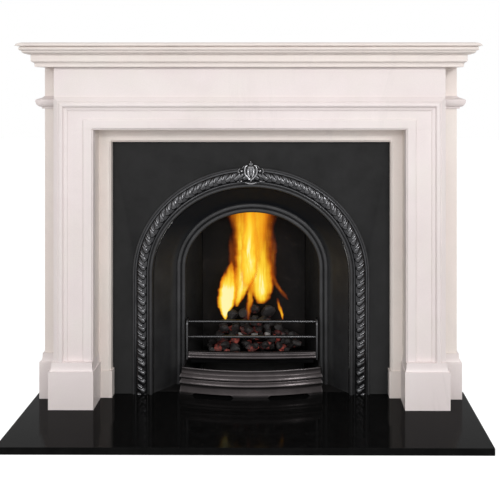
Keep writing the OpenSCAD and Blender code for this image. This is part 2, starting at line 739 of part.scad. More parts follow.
// Slotted grate with a lip that reaches through the opening and carries the front bars.
module bottom_grate() color(iron) stand() difference() {
    y1 = -frame_back - 2;
    union() {
        block([-grate_half, grate_back, grate_seat], [grate_half, y1, grate_seat + grate_t]);
        block([-mouth_in + wall_t, y1, grate_seat], [mouth_in - wall_t, rail_half / 2 - bars_back, grate_seat + grate_t]);
    }
    pitch = 2 * (grate_half - grate_edge) / slots;
    for (i = [0:slots - 1]) translate([(i - (slots - 1) / 2) * pitch, 0, 0])
        block([-slot_w / 2, grate_back + grate_edge, 0], [slot_w / 2, y1 - grate_edge, rail_z]);
}

// Heaped fuel bed: big lumps in two rows, higher towards the middle and the back.
module coal_bed() color(coal) stand() for (row = [0:1], i = [-1:1]) {
    lump_w = heap_w / 3 - 2;
    lump_d = bed_d / 2 - 8;
    x = i * heap_w / 3;
    y = -frame_back - 6 - (row + 0.5) * (lump_d + 4);
    top = heap_h * (1 - 0.42 * abs(i)) * (0.8 + 0.2 * row);
    translate([x, y, rail_z]) hull() {
        block([-0.42 * lump_w, -0.4 * lump_d, 0], [0.42 * lump_w, 0.4 * lump_d, 1]);
        block([-0.5 * lump_w, -0.5 * lump_d, 0.3 * top], [0.5 * lump_w, 0.5 * lump_d, 0.5 * top]);
        block([-0.3 * lump_w, -0.36 * lump_d, 0], [0.34 * lump_w, 0.36 * lump_d, 0.84 * top]);
        block([-0.16 * lump_w, -0.2 * lump_d, 0], [0.2 * lump_w, 0.24 * lump_d, top]);
    }
}

// Lift-out front: two round bars and a bowed rail between two end plates.
module front_bars() color(iron) stand() {
    x0 = bars_half - bars_plate;
    front = rail_half - bars_back;
    for (z = [bar_high, bar_low]) translate([-x0 - 2, -bars_back, z])
        rotate([0, 90, 0]) cylinder(h = 2 * x0 + 4, d = bar_d);
    for (side = [0, 1]) mirror([side, 0, 0]) across(concat([[front - 2 * rail_half, rail_z], [front, rail_z]],
        quarter([front - 2 * rail_half, bar_high - rail_half], [front, bar_high - rail_half],
            [front - 2 * rail_half, bar_high + rail_half])), x0, bars_half);
    intersection() {
        translate([0, rail_bow - bars_back - rail_r, 0]) rotate([0, 0, 90 - rail_angle])
            rotate_extrude(angle = 2 * rail_angle, $fn = 360) polygon([[rail_r - 10, rail_z + 1],
                [rail_r + 10, rail_z + 1], [rail_r + 12, rail_z + 5], [rail_r + 8, rail_z + 16],
                [rail_r + 2, rail_z + rail_h], [rail_r - 10, rail_z + rail_h]]);
        block([-x0 - 2, front - 2.5 * rail_half, 0], [x0 + 2, rail_bow, rail_z + rail_h + 1]);
    }
}

// Outer face of the ash cover as offset from its plan line and height, top first: a hollow
// upper face, two ridges with a groove between them, and a plinth.
function cover_face(top, bottom) = concat([[-cover_set, top]],
    [for (i = [0:4]) let (t = 22 * i)
        [-2 - (cover_set - 2) * cos(t), cover_h - 3 - (cover_h - ridge_high - 5) * sin(t)]],
    [[0, ridge_high], [-cover_t, ridge_high - 7], [-cover_t, ridge_low + 4], [1, ridge_low],
        [1, ridge_low - 5], [-1, ridge_low - 8], [-1, bottom]]);

// Solid behind that face, taken in by [t]: its front is bowed and its ends run straight back.
module cover_form(t, top, bottom, back) {
    edge = [for (e = cover_face(top, bottom)) e - [t, 0]];
    flipped = [for (i = [len(edge) - 1:-1:0]) edge[i]];
    intersection() {
        translate([0, cover_reach + cover_bow - cover_r, 0]) rotate_extrude()
            polygon(concat([[0, top]], [for (e = edge) [cover_r + e[0], e[1]]], [[0, bottom]]));
        outward(concat([for (e = edge) [cover_half + e[0], e[1]]], [for (e = flipped) [-cover_half - e[0], e[1]]]),
            back, cover_reach + 2 * cover_bow);
    }
}

module ash_cover() color(iron) stand() difference() {
    cover_form(0, cover_h, gap, 2 - bars_back);
    cover_form(cover_t, cover_h + 1, -1, -bars_back);
    for (side = [0, 1]) mirror([side, 0, 0])
        block([tongue_half, 0, -1], [cover_half - cover_foot, hearth_reach, cover_cut]);
}

module ash_pan() color(iron) stand() difference() {
    block([-pan_half, -pan_back, gap], [pan_half, pan_front, pan_h]);
    block([pan_t - pan_half, pan_t - pan_back, gap + pan_t], [pan_half - pan_t, pan_front - pan_t, pan_h + 1]);
}

module ash_pan_handle() color(steel) stand() {
    for (x = [-30, 30]) translate([x, pan_front, pan_h * 0.6]) rotate([-90, 0, 0]) cylinder(h = 16, d = 6);
    translate([-36, pan_front + 16, pan_h * 0.6]) rotate([0, 90, 0]) cylinder(h = 72, d = 8);
}

hearth_slab();
back_hearth();
shelf();
cornice_front();
cornice_left();
cornice_right();
header_face();
header_soffit();
header_cheek_left();
header_cheek_right();
frame_head();
frame_leg_left();
frame_leg_right();
ground_top();
ground_left();
ground_right();
ground_ear_left();
ground_ear_right();
pilaster_face_left();
pilaster_face_right();
outer_cheek_left();
outer_cheek_right();
inner_cheek_left();
inner_cheek_right();
foot_left();
foot_right();
ground_plinth_left();
ground_plinth_right();
slip_plinth_left();
slip_plinth_right();
steel_dowels();
shelf_brackets();
register_plate();
arch_band();
band_leg_left();
band_leg_right();
arch_crest();
arch_reveal();
reveal_leg_left();
reveal_leg_right();
firebox_frame();
fireback();
fire_cheek_left();
fire_cheek_right();
throat_plate();
damper_flap();
damper_pin();
frame_bolts();
bottom_grate();
coal_bed();
front_bars();
ash_cover();
ash_pan();
ash_pan_handle();
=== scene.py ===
"""Marble fireplace mantel with an arched cast-iron register grate on a black granite hearth.

Metres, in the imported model's own frame: X along the mantel, Y into the chimney breast, Z up.
Ornament, castings and fire are laid out in millimetres: along the mantel, out from the wall,
which is called their reach, and up from the hearth's top.
"""

import json
import math
import random

import bmesh
import bpy
from mathutils import Matrix, Vector, noise


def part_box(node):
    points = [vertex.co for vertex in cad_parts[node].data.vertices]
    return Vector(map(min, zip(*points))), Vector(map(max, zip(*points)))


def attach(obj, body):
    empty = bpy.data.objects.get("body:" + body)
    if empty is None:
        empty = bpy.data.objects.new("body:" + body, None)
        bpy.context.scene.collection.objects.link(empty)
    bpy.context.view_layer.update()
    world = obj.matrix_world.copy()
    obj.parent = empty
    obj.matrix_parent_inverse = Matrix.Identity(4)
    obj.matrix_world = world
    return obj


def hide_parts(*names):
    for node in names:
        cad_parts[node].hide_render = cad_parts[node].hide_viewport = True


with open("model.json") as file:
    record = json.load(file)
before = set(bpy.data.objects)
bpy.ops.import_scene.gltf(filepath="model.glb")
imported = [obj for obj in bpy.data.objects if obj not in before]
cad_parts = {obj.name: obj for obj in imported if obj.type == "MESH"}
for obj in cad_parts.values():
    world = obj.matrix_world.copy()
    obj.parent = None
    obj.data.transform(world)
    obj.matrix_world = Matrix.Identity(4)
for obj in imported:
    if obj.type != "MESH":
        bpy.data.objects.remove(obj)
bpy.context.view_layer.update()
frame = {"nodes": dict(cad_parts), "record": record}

MM = 0.001
SEED = 7

# The wall and the hearth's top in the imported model, from which the pieces are laid out.
WALL_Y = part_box("ground_top")[1].y
HEARTH_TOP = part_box("hearth_slab")[1].z

# The photograph's camera: level, so uprights stay upright, a little to the right of the middle,
# and shifted down to take in the hearth. The turn is in degrees and the sensor in millimetres.
FRAME_PX = 500
FOCAL_PX = 852.5
HORIZON_PX = 85
SHIFT_PX = 34.4
SENSOR = 36.0
EYE_DISTANCE = 2.951
EYE_HEIGHT = 1.062
EYE_SIDE = 0.13
EYE_TURN = 0.3


def in_mm(metres):
    """Millimetres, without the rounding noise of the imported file."""
    return round(metres / MM, 3)


class Packed:
    """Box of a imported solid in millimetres: its right side, reaches, and heights over the hearth."""

    def __init__(self, name):
        low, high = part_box(name)
        self.right = in_mm(high.x)
        self.back, self.front = in_mm(WALL_Y - high.y), in_mm(WALL_Y - low.y)
        self.foot, self.top = in_mm(low.z - HEARTH_TOP), in_mm(high.z - HEARTH_TOP)


def place(x, reach, z):
    """Point from millimetres along the mantel, out from the wall and up from the hearth's top."""
    return Vector((x * MM, WALL_Y - reach * MM, HEARTH_TOP + z * MM))


# Materials

class Nodes:
    """Short way to build a node tree round one Principled shader."""

    # The colour sockets of a Mix node, which share their names with those of other types.
    MIX_INPUTS = (0, 6, 7)
    MIX_RESULT = 2

    def __init__(self, name):
        self.mat = bpy.data.materials.new(name)
        self.mat.use_nodes = True
        self.tree = self.mat.node_tree
        self.bsdf = self.tree.nodes["Principled BSDF"]
        self.coords = self.add("TexCoord").outputs["Object"]

    def add(self, kind, **values):
        node = self.tree.nodes.new("ShaderNode" + kind)
        for key, value in values.items():
            setattr(node, key, value)
        return node

    def link(self, a, b):
        self.tree.links.new(a, b)

    def stretch(self, scale):
        mapping = self.add("Mapping")
        mapping.inputs["Scale"].default_value = scale
        self.link(self.coords, mapping.inputs["Vector"])
        return mapping.outputs["Vector"]

    def noise(self, scale, detail=4.0, rough=0.5, distort=0.0, vector=None):
        node = self.add("TexNoise")
        node.inputs["Scale"].default_value = scale
        node.inputs["Detail"].default_value = detail
        node.inputs["Roughness"].default_value = rough
        node.inputs["Distortion"].default_value = distort
        self.link(vector or self.coords, node.inputs["Vector"])
        return node.outputs["Fac"]

    def cells(self, scale):
        node = self.add("TexVoronoi", feature="F1")
        node.inputs["Scale"].default_value = scale
        self.link(self.coords, node.inputs["Vector"])
        return node.outputs["Distance"]

    def ramp(self, factor, *stops):
        """Colours, or greys given as numbers, spread along a factor."""
        node = self.add("ValToRGB")
        elements = node.color_ramp.elements
        while len(elements) < len(stops):
            elements.new(0.5)
        for element, (at, colour) in zip(elements, stops):
            element.position = at
            if isinstance(colour, (int, float)):
                colour = (colour, colour, colour)
            element.color = (*colour, 1.0)
        self.link(factor, node.inputs["Fac"])
        return node.outputs["Color"]

    def mix(self, factor, a, b, blend="MIX"):
        node = self.add("Mix", data_type="RGBA", blend_type=blend)
        for index, value in zip(self.MIX_INPUTS, (factor, a, b)):
            if isinstance(value, (int, float)):
                node.inputs[index].default_value = value
            elif isinstance(value, tuple):
                node.inputs[index].default_value = (*value, 1.0)
            else:
                self.link(value, node.inputs[index])
        return node.outputs[self.MIX_RESULT]

    def bump(self, height, strength, distance, under=None):
        node = self.add("Bump")
        node.inputs["Strength"].default_value = strength
        node.inputs["Distance"].default_value = distance
        self.link(height, node.inputs["Height"])
        if under is not None:
            self.link(under, node.inputs["Normal"])
        return node.outputs["Normal"]

    def clouds(self, scale, dark, light, full=0.75):
        """Soft clouds from one shade or roughness to another."""
        return self.ramp(self.noise(scale, 4, 0.6), (0.3, dark), (full, light))

    def worn_and_highlit_edges(self, base, start, full, amount, bright):
        """Base colour that brightens on proud edges: partly where blacking is rubbed off, partly a painted
        highlight.
        """
        edge = self.ramp(self.add("NewGeometry").outputs["Pointiness"], (start, 0.0), (full, amount))
        return self.mix(edge, base, bright)

    def cast_skin(self, *layers):
        """Bump of a casting: layers of noise, each a scale, a strength and a depth in metres."""
        normal = None
        for scale, strength, depth in layers:
            normal = self.bump(self.noise(scale, 3, 0.6), strength, depth, normal)
        return normal

    def finish(self, colour=None, rough=None, normal=None, **values):
        for socket, value in (("Base Color", colour), ("Roughness", rough), ("Normal", normal)):
            if value is not None:
                self.link(value, self.bsdf.inputs[socket])
        for name, value in values.items():
            self.bsdf.inputs[name.replace("_", " ")].default_value = value
        return self.mat


def marble_material(name="marble", blue=1.0, painted_lift=1.0):
    """Honed warm white marble: soft clouds, a few thin grey veins and fine grain.

    `blue` scales the blue, for slabs of another tint; the factor for the whole colour paints a lighter copy,
    painted light for slabs set back in shade.
    """
    n = Nodes(name)
    tints = ((0.3, 0.775, 0.690, 0.680), (0.55, 0.83, 0.745, 0.735), (0.75, 0.86, 0.785, 0.772))
    base = n.ramp(n.noise(3.1, 5, 0.55, 0.6),
                  *((at, (r * painted_lift, g * painted_lift, b * blue * painted_lift)) for at, r, g, b in tints))
    warm = n.ramp(n.noise(7.5, 3, 0.5), (0.42, 0.0), (0.7, 0.35))
    base = n.mix(warm, base, (0.80, 0.755, 0.70))
    drift = n.noise(1.7, 6, 0.62, 1.4, n.stretch((1.0, 1.0, 0.45)))
    vein = n.ramp(drift, (0.478, 0.0), (0.5, 0.30), (0.522, 0.0))
    faint = n.ramp(n.noise(2.3, 3, 0.5), (0.45, 0.0), (0.7, 1.0))
    base = n.mix(n.mix(1.0, vein, faint, "MULTIPLY"), base, (0.68, 0.615, 0.60))
    grain = n.noise(420, 2, 0.6)
    base = n.mix(0.05, base, n.ramp(grain, (0.35, 0.3), (0.65, 1.0)), "MULTIPLY")
    rough = n.clouds(14, 0.34, 0.46, 0.7)
    normal = n.bump(n.noise(26, 3, 0.5), 0.05, 0.002, n.bump(grain, 0.06, 0.0004))
    return n.finish(base, rough, normal, Specular_IOR_Level=0.45)


def granite_material():
    """Polished black granite: near black with fine grey and dark crystals under the polish."""
    n = Nodes("granite")
    crystal = n.ramp(n.cells(620), (0.0, (0.020, 0.020, 0.021)), (0.25, 0.006), (0.7, 0.002))
    patch = n.ramp(n.noise(38, 3, 0.6), (0.35, 0.003), (0.7, 0.007))
    rough = n.ramp(n.noise(60, 3, 0.5), (0.3, 0.07), (0.75, 0.13))
    normal = n.bump(n.noise(9, 2, 0.5), 0.02, 0.002)
    return n.finish(n.mix(0.55, crystal, patch), rough, normal, Specular_IOR_Level=0.022)


def iron_material(name="iron", dark=0.006, light=0.013, specular=0.12, edge=0.6, metal=0.1, crown_shade=False):
    """Black-leaded cast iron: sand-cast skin, brighter on proud edges, partly rubbed wear and partly a
    painted highlight.

    Where the crown shade is on, its colour is painted darker and cooler towards the crown of the arch, a
    painted shade, and it turns less metallic and less glossy there.
    """
    n = Nodes(name)
    base = n.clouds(16, *((grey, grey, grey * 1.04) for grey in (dark, light)))
    # Proud edges painted brighter: partly rubbed wear, partly a painted highlight.
    base = n.worn_and_highlit_edges(base, 0.52, 0.60, edge, (0.09, 0.09, 0.09))
    # Painted shade: the colour darkens and cools towards the crown of the arch.
    if crown_shade:
        split = n.add("SeparateXYZ")
        n.link(n.add("NewGeometry").outputs["Position"], split.inputs[0])
        up = n.ramp(split.outputs["Z"], (0.44, 0.0), (0.60, 1.0))
        base = n.mix(up, base, (0.0125, 0.0138, 0.0168))
        n.link(n.ramp(up, (0.0, metal), (1.0, 0.0)), n.bsdf.inputs["Metallic"])
        n.link(n.ramp(up, (0.0, specular), (1.0, 0.03)), n.bsdf.inputs["Specular IOR Level"])
    normal = n.cast_skin((900, 0.16, 0.0005), (70, 0.10, 0.0015))
    return n.finish(base, n.clouds(45, 0.40, 0.55, 0.7), normal, Metallic=metal, Specular_IOR_Level=specular)


def rubbed_sheen_material(name="rubbed_sheen", worn_sheen=0.29, dull=0.0):
    """The same iron on the ornament: blacking stays in the ground and wears off the relief, and the relief's
    proud edges carry a painted highlight too.
    """
    n = Nodes(name)
    base = n.clouds(22, (0.034, 0.034, 0.036), (0.062, 0.062, 0.065))
    # Proud edges of the relief painted bright: partly rubbed wear, partly a painted highlight.
    base = n.worn_and_highlit_edges(base, 0.508, 0.572, 0.9, (worn_sheen, worn_sheen, worn_sheen * 1.03))
    rough = n.clouds(60, 0.16 + dull, 0.25 + dull, 0.7)
    normal = n.cast_skin((1100, 0.10, 0.0004), (90, 0.08, 0.001))
    return n.finish(base, rough, normal, Metallic=0.92, Specular_IOR_Level=0.3)


def burnished_material():
    """Iron burnished by years of cleaning, on the rail and the ash cover, with a painted highlight on its
    proud edges.
    """
    n = Nodes("burnished")
    base = n.clouds(18, (0.034, 0.029, 0.0295), (0.057, 0.0495, 0.050))
    # Proud edges painted brighter: partly wear, partly a painted highlight.
    base = n.worn_and_highlit_edges(base, 0.51, 0.60, 0.8, (0.15, 0.139, 0.141))
    normal = n.cast_skin((1000, 0.08, 0.0004), (80, 0.06, 0.001))
    return n.finish(base, n.clouds(50, 0.18, 0.27, 0.7), normal, Metallic=0.85, Specular_IOR_Level=0.5)


def ember_material():
    """Coals deep in the heap, red hot between black crusts."""
    n = Nodes("ember")
    crust = n.noise(55, 5, 0.7, 0.3)
    base = n.ramp(crust, (0.3, (0.03, 0.012, 0.008)), (0.7, (0.015, 0.010, 0.009)))
    glow = n.ramp(crust, (0.38, (0.20, 0.034, 0.024)), (0.47, (0.075, 0.011, 0.009)),
                  (0.58, (0.006, 0.001, 0.001)))
    n.link(glow, n.bsdf.inputs["Emission Color"])
    rough = n.ramp(crust, (0.3, 0.7), (0.7, 0.9))
    return n.finish(base, rough, n.bump(crust, 0.4, 0.002), Emission_Strength=0.9)


def flame_material():
    """Coal flames: clear yellow in the middle, orange to dark red and fading out at the rims."""
    n = Nodes("flame")
    warmth = n.add("Attribute", attribute_name="warmth").outputs["Fac"]
    streak = n.noise(42, 4, 0.6, 0.5, n.stretch((1.0, 1.0, 0.12)))
    shade = n.add("Math", operation="MULTIPLY")
    n.link(warmth, shade.inputs[0])
    n.link(n.ramp(streak, (0.34, 0.58), (0.60, 1.0)), shade.inputs[1])
    heat = shade.outputs[0]
    glow = n.ramp(heat, (0.02, (0.22, 0.012, 0.002)), (0.20, (0.80, 0.14, 0.008)),
                  (0.42, (0.94, 0.36, 0.012)), (0.64, (1.0, 0.62, 0.03)),
                  (0.84, (1.0, 0.78, 0.09)), (1.0, (1.0, 0.92, 0.42)))
    n.link(glow, n.bsdf.inputs["Emission Color"])
    n.link(n.ramp(heat, (0.02, 0.0), (0.22, 0.10), (0.45, 0.50), (0.75, 0.93)), n.bsdf.inputs["Alpha"])
    rough = n.ramp(streak, (0.3, 0.9), (0.7, 1.0))
    base = n.ramp(streak, (0.3, (0.01, 0.003, 0.001)), (0.7, (0.02, 0.006, 0.002)))
    return n.finish(base, rough, Emission_Strength=1.0, Specular_IOR_Level=0.0)


def firebrick_material():
    """Firebrick behind the fire, black with soot and paler where it burns clean."""
    n = Nodes("firebrick")
    soot = n.noise(9, 6, 0.65, 0.5)
    base = n.ramp(soot, (0.3, 0.005), (0.55, (0.010, 0.009, 0.009)), (0.8, (0.026, 0.023, 0.021)))
    grit = n.noise(260, 4, 0.7)
    rough = n.ramp(grit, (0.3, 0.82), (0.7, 0.95))
    return n.finish(base, rough, n.bump(grit, 0.4, 0.001), Specular_IOR_Level=0.12)


def coal_material():
    """Coals: black lumps with pale specks that are painted glints, and a faint red glow in places."""
    n = Nodes("coal")
    crust = n.noise(60, 5, 0.65)
    # The palest stop paints glints of light on the lumps.
    base = n.ramp(crust, (0.3, (0.0045, 0.0035, 0.0035)), (0.60, (0.0085, 0.006, 0.006)),
                  (0.76, (0.085, 0.074, 0.07)))
    glow = n.ramp(n.noise(24, 4, 0.6, 0.4), (0.58, 0.0), (0.67, (0.045, 0.008, 0.007)),
                  (0.80, (0.22, 0.035, 0.022)))
    n.link(glow, n.bsdf.inputs["Emission Color"])
    rough = n.ramp(crust, (0.3, 0.55), (0.7, 0.9))
    return n.finish(base, rough, n.bump(n.noise(180, 5, 0.7), 0.5, 0.002), Emission_Strength=0.8)


def ashy_firelit_material():
    """Burnt lumps at the front of the fire, grey with ash and painted paler with firelight."""
    n = Nodes("ashy_firelit_coal")
    crust = n.noise(70, 5, 0.65)
    # Pale grey: partly ash, partly painted firelight on the lumps.
    base = n.ramp(crust, (0.3, (0.10, 0.092, 0.088)), (0.7, (0.34, 0.325, 0.315)))
    rough = n.ramp(crust, (0.3, 0.5), (0.7, 0.8))
    return n.finish(base, rough, n.bump(n.noise(180, 5, 0.7), 0.5, 0.002))


def steel_material():
    """Plain drawn steel with faint streaks."""
    n = Nodes("steel")
    streak = n.noise(180, 3, 0.6, 0.0, n.stretch((0.15, 1.0, 1.0)))
    base = n.ramp(streak, (0.3, (0.34, 0.34, 0.35)), (0.7, (0.50, 0.50, 0.51)))
    rough = n.ramp(streak, (0.3, 0.28), (0.7, 0.42))
    return n.finish(base, rough, n.bump(streak, 0.05, 0.0004), Metallic=1.0)


def pan_material():
    """Black sheet steel of the ash pan, dusted with ash."""
    n = Nodes("pan_steel")
    dust = n.noise(30, 5, 0.65)
    base = n.ramp(dust, (0.35, 0.006), (0.7, (0.022, 0.021, 0.020)))
    rough = n.ramp(dust, (0.3, 0.42), (0.7, 0.7))
    return n.finish(base, rough, n.bump(n.noise(120, 3, 0.5), 0.08, 0.0006), Metallic=0.4)


MATERIALS = {
    "marble": marble_material(),
    "marble_cream": marble_material("marble_cream", blue=0.955),
    # A lighter copy of the cream marble: painted light for slabs set back in shade.
    "marble_cream_lit": marble_material("marble_cream_lit", blue=0.95, painted_lift=1.08),
    "granite": granite_material(),
    "iron": iron_material(),
    "casting": iron_material("casting", dark=0.030, light=0.050, specular=0.28, edge=0.5, metal=0.5),
    # The splay is painted darker towards the crown of the arch: painted shade.
    "splay": iron_material("splay", dark=0.028, light=0.048, specular=0.26, edge=0.4, metal=0.5,
                           crown_shade=True),
    "soot": iron_material("soot", dark=0.003, light=0.006, specular=0.02, edge=0.0),
    "rubbed_sheen": rubbed_sheen_material(),
    # The crest and the bars get more and less of the painted highlight on their edges.
    "crest": rubbed_sheen_material("crest", worn_sheen=0.5),
    "bar_iron": rubbed_sheen_material("bar_iron", worn_sheen=0.07, dull=0.05),
    "burnished": burnished_material(),
    "steel": steel_material(),
    "pan_steel": pan_material(),
    "firebrick": firebrick_material(),
    "coal": coal_material(),
    "ashy_firelit_coal": ashy_firelit_material(),
    "ember": ember_material(),
    "flame": flame_material(),
}


# Mesh building

class Solid:
    """Collects closed shapes, given in millimetres along, out and up, into one mesh piece."""

    def __init__(self):
        self.verts = []
        self.faces = []
        self.second = set()
        self.warmth = []

    def rings(self, rings, second=()):
        """Skin over rings of equal length, capped at both ends.

        Places along the ring that `second` lists get the piece's second material.
        """
        base, m, n = len(self.verts), len(rings[0]), len(rings)
        for ring in rings:
            self.verts.extend(ring)
        for k in range(n - 1):
            for j in range(m):
                a, b = base + k * m, base + (k + 1) * m
                if j in second:
                    self.second.add(len(self.faces))
                self.faces.append((a + j, a + (j + 1) % m, b + (j + 1) % m, b + j))
        self.faces.append(tuple(base + j for j in reversed(range(m))))
        self.faces.append(tuple(base + (n - 1) * m + j for j in range(m)))

    def oval(self, centre, radii, turn=0.0, seg=20):
        """Oval lump; `turn` spins it in the plane of the wall, in degrees."""
        rows, pole = 10, 0.02
        c, s = math.cos(math.radians(turn)), math.sin(math.radians(turn))
        rings = []
        for i in range(rows + 1):
            lat = math.pi * (pole + (1 - 2 * pole) * i / rows)
            ring = []
            for j in range(seg):
                lon = math.tau * j / seg
                x = radii[0] * math.sin(lat) * math.cos(lon)
                z = radii[2] * math.sin(lat) * math.sin(lon)
                y = radii[1] * math.cos(lat)
                ring.append((centre[0] + c * x - s * z, centre[1] + y, centre[2] + s * x + c * z))
            rings.append(ring)
        self.rings(rings)

    def stem(self, stops):
        """Round stem through places along, out and up, each with its radius."""
        seg = 12
        points = [Vector(stop[:3]) for stop in stops]
        rings = []
        side = None
        for k, (point, stop) in enumerate(zip(points, stops)):
            along = (points[min(k + 1, len(points) - 1)] - points[max(k - 1, 0)]).normalized()
            if side is None:
                side = along.cross(Vector((0, 1, 0)))
            side = (side - along * side.dot(along)).normalized()
            up = along.cross(side)
            rings.append([tuple(point + stop[3] * (math.cos(math.tau * j / seg) * side
                                                   + math.sin(math.tau * j / seg) * up))
                          for j in range(seg)])
        self.rings(rings)

    def piece(self, name, slot, body, replaces=(), materials=(), sharp=34):
        """Turns what was collected into a piece; edges past `sharp` degrees stay crisp."""
        mesh = bpy.data.meshes.new(name)
        mesh.from_pydata([place(*v) for v in self.verts], [], self.faces)
        work = bmesh.new()
        work.from_mesh(mesh)
        bmesh.ops.recalc_face_normals(work, faces=work.faces)
        work.to_mesh(mesh)
        work.free()
        mesh.shade_smooth()
        mesh.set_sharp_from_angle(angle=math.radians(sharp))
        for key in materials or (slot,):
            mesh.materials.append(MATERIALS[key])
        for index in self.second:
            mesh.polygons[index].material_index = 1
        if self.warmth:
            mesh.attributes.new("warmth", "FLOAT", "POINT").data.foreach_set("value", self.warmth)
        obj = bpy.data.objects.new(name, mesh)
        bpy.context.scene.collection.objects.link(obj)
        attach(obj, body)
        if replaces:
            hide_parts(*replaces)
        return obj


def arc(centre, radii, degrees):
    """Points of a section on an oval arc, at each of the angles."""
    return [(centre[0] + radii[0] * math.cos(math.radians(t)),
             centre[1] + radii[1] * math.sin(math.radians(t))) for t in degrees]


def bead(a0, a1, base, high, n):
    """Half oval from a0 to a1, standing `high` over `base`."""
    return [((a0 + a1) / 2 + (a0 - a1) / 2 * math.cos(math.pi * i / n),
             base + high * math.sin(math.pi * i / n)) for i in range(n + 1)]


def cushion(a0, a1, base, high):
    """Broad moulding from a0 to a1 with a flat crown and round shoulders."""
    n, shoulder = 14, 3.5
    return [((a0 + a1) / 2 + (a0 - a1) / 2 * c, base + high * (1 - abs(c) ** shoulder))
            for c in (math.cos(math.pi * i / n) for i in range(n + 1))]


def bow_radius(half, rise):
    """Radius of the arc that rises by `rise` over a chord of twice `half`."""
    return (half ** 2 + rise ** 2) / (2 * rise)


# The arch of the casting: half widths, heights and reaches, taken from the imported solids.
BAND = Packed("arch_band")
BAND_LEG = Packed("band_leg_left")
REVEAL_LEG = Packed("reveal_leg_left")
ARCH_SPRING = BAND_LEG.top
BAND_OUT = BAND.right
BAND_IN = -BAND_LEG.right
ARCH_DROP = ARCH_SPRING + BAND_OUT - BAND.top
PLATE_REACH = Packed("register_plate").front
PLATE_BACK = BAND.back


def arch_path(step):
    """Places round the arch as functions of half width, each with its distance from the crown."""
    mid = (BAND_OUT + BAND_IN) / 2

    def on_leg(side, z):
        return lambda a: (side * a, z)

    def on_arc(t):
        return lambda a: (a * math.cos(t), ARCH_SPRING + (a - ARCH_DROP) * math.sin(t))

    n_leg = round(ARCH_SPRING / step)
    n_arc = 2 * round(math.pi * (mid - ARCH_DROP / 2) / step / 2)
    places = [on_leg(1, ARCH_SPRING * i / n_leg) for i in range(n_leg)]
    places += [on_arc(math.pi * i / n_arc) for i in range(n_arc + 1)]
    places += [on_leg(-1, ARCH_SPRING * (n_leg - i) / n_leg) for i in range(1, n_leg + 1)]
    along = [0.0]
    for p, q in zip(places, places[1:]):
        along.append(along[-1] + math.dist(p(mid), q(mid)))
    half = along[-1] / 2
    return [(p, d - half) for p, d in zip(places, along)]


def arch_ring(at, section):
    """Section of half widths and reaches, set up at a place round the arch."""
    return [(at(a)[0], reach, at(a)[1]) for a, reach in section]


# The ornament: foot and tip of a leaf and of a bud as places along and across the band, then half
# width and height. Both have a round heel, taper to the tip and fall towards it.
LEAF = ((6, -8), (-9, 13), 9.2, 4.6)
BUD = ((-9, 0), (-19, 15), 4.8, 3.8)
LEAF_SPACING = 30.0
LEAF_HEEL = 0.22
LEAF_TAPER = 0.55
LEAF_FALL = 0.35
LEAF_LEAST = 0.02

# The rounded ground under the leaves, and how far across the band they stay clear of its beads.
ROLL_CENTRE = -1.0
ROLL_HALF = 17.5
ROLL_HIGH = 6.6
LEAF_CLEAR = 19.0


def hump(t):
    """Half-round profile, one in the middle and nothing at one and beyond."""
    return math.sqrt(1 - t * t) if abs(t) < 1 else 0.0


def leaf(ds, u, foot, tip, wide, high):
    """Height at a place of a leaf that is thick at its foot and runs out to a point at its tip."""
    ax, ay = tip[0] - foot[0], tip[1] - foot[1]
    size = ax * ax + ay * ay
    t = ((ds - foot[0]) * ax + (u - foot[1]) * ay) / size
    across = ((ds - foot[0]) * ay - (u - foot[1]) * ax) / math.sqrt(size)
    if not -LEAF_HEEL < t < 1:
        return 0.0
    swell = hump(t / LEAF_HEEL) if t < 0 else (1 - t) ** LEAF_TAPER
    return high * (1 - LEAF_FALL * max(t, 0)) * hump(across / (wide * max(swell, LEAF_LEAST)))


def relief(s, u, pitch):
    """Height of the band's ornament: a rounded ground with a leaf at each pitch and a bud between.

    Leaves grow from the inner side out, and lean towards the crown from both sides.
    """
    q = abs(s)
    high = 0.0
    for cell in range(math.floor(q / pitch) - 1, math.floor(q / pitch) + 2):
        ds = q - (cell + 0.5) * pitch
        high = max(high, leaf(ds, u, *LEAF), leaf(ds, u, *BUD))
    v = u - ROLL_CENTRE
    return ROLL_HIGH * hump(v / ROLL_HALF) + high * hump(v / LEAF_CLEAR)


# The band's section: a thin bead outside, a round bead inside and the ornament between them.
BAND_STEP = 1.5
BAND_LAP = 10.0
BEAD_FOOT = PLATE_REACH + 4.0
OUTER_BEAD = 7.0
OUTER_BEAD_HIGH = 3.0
OUTER_GAP = 1.0
INNER_BEAD = 13.0
INNER_BEAD_HIGH = 6.8
INNER_GAP = 4.0
GROUND = PLATE_REACH + 1.0
RELIEF_COLS = 34


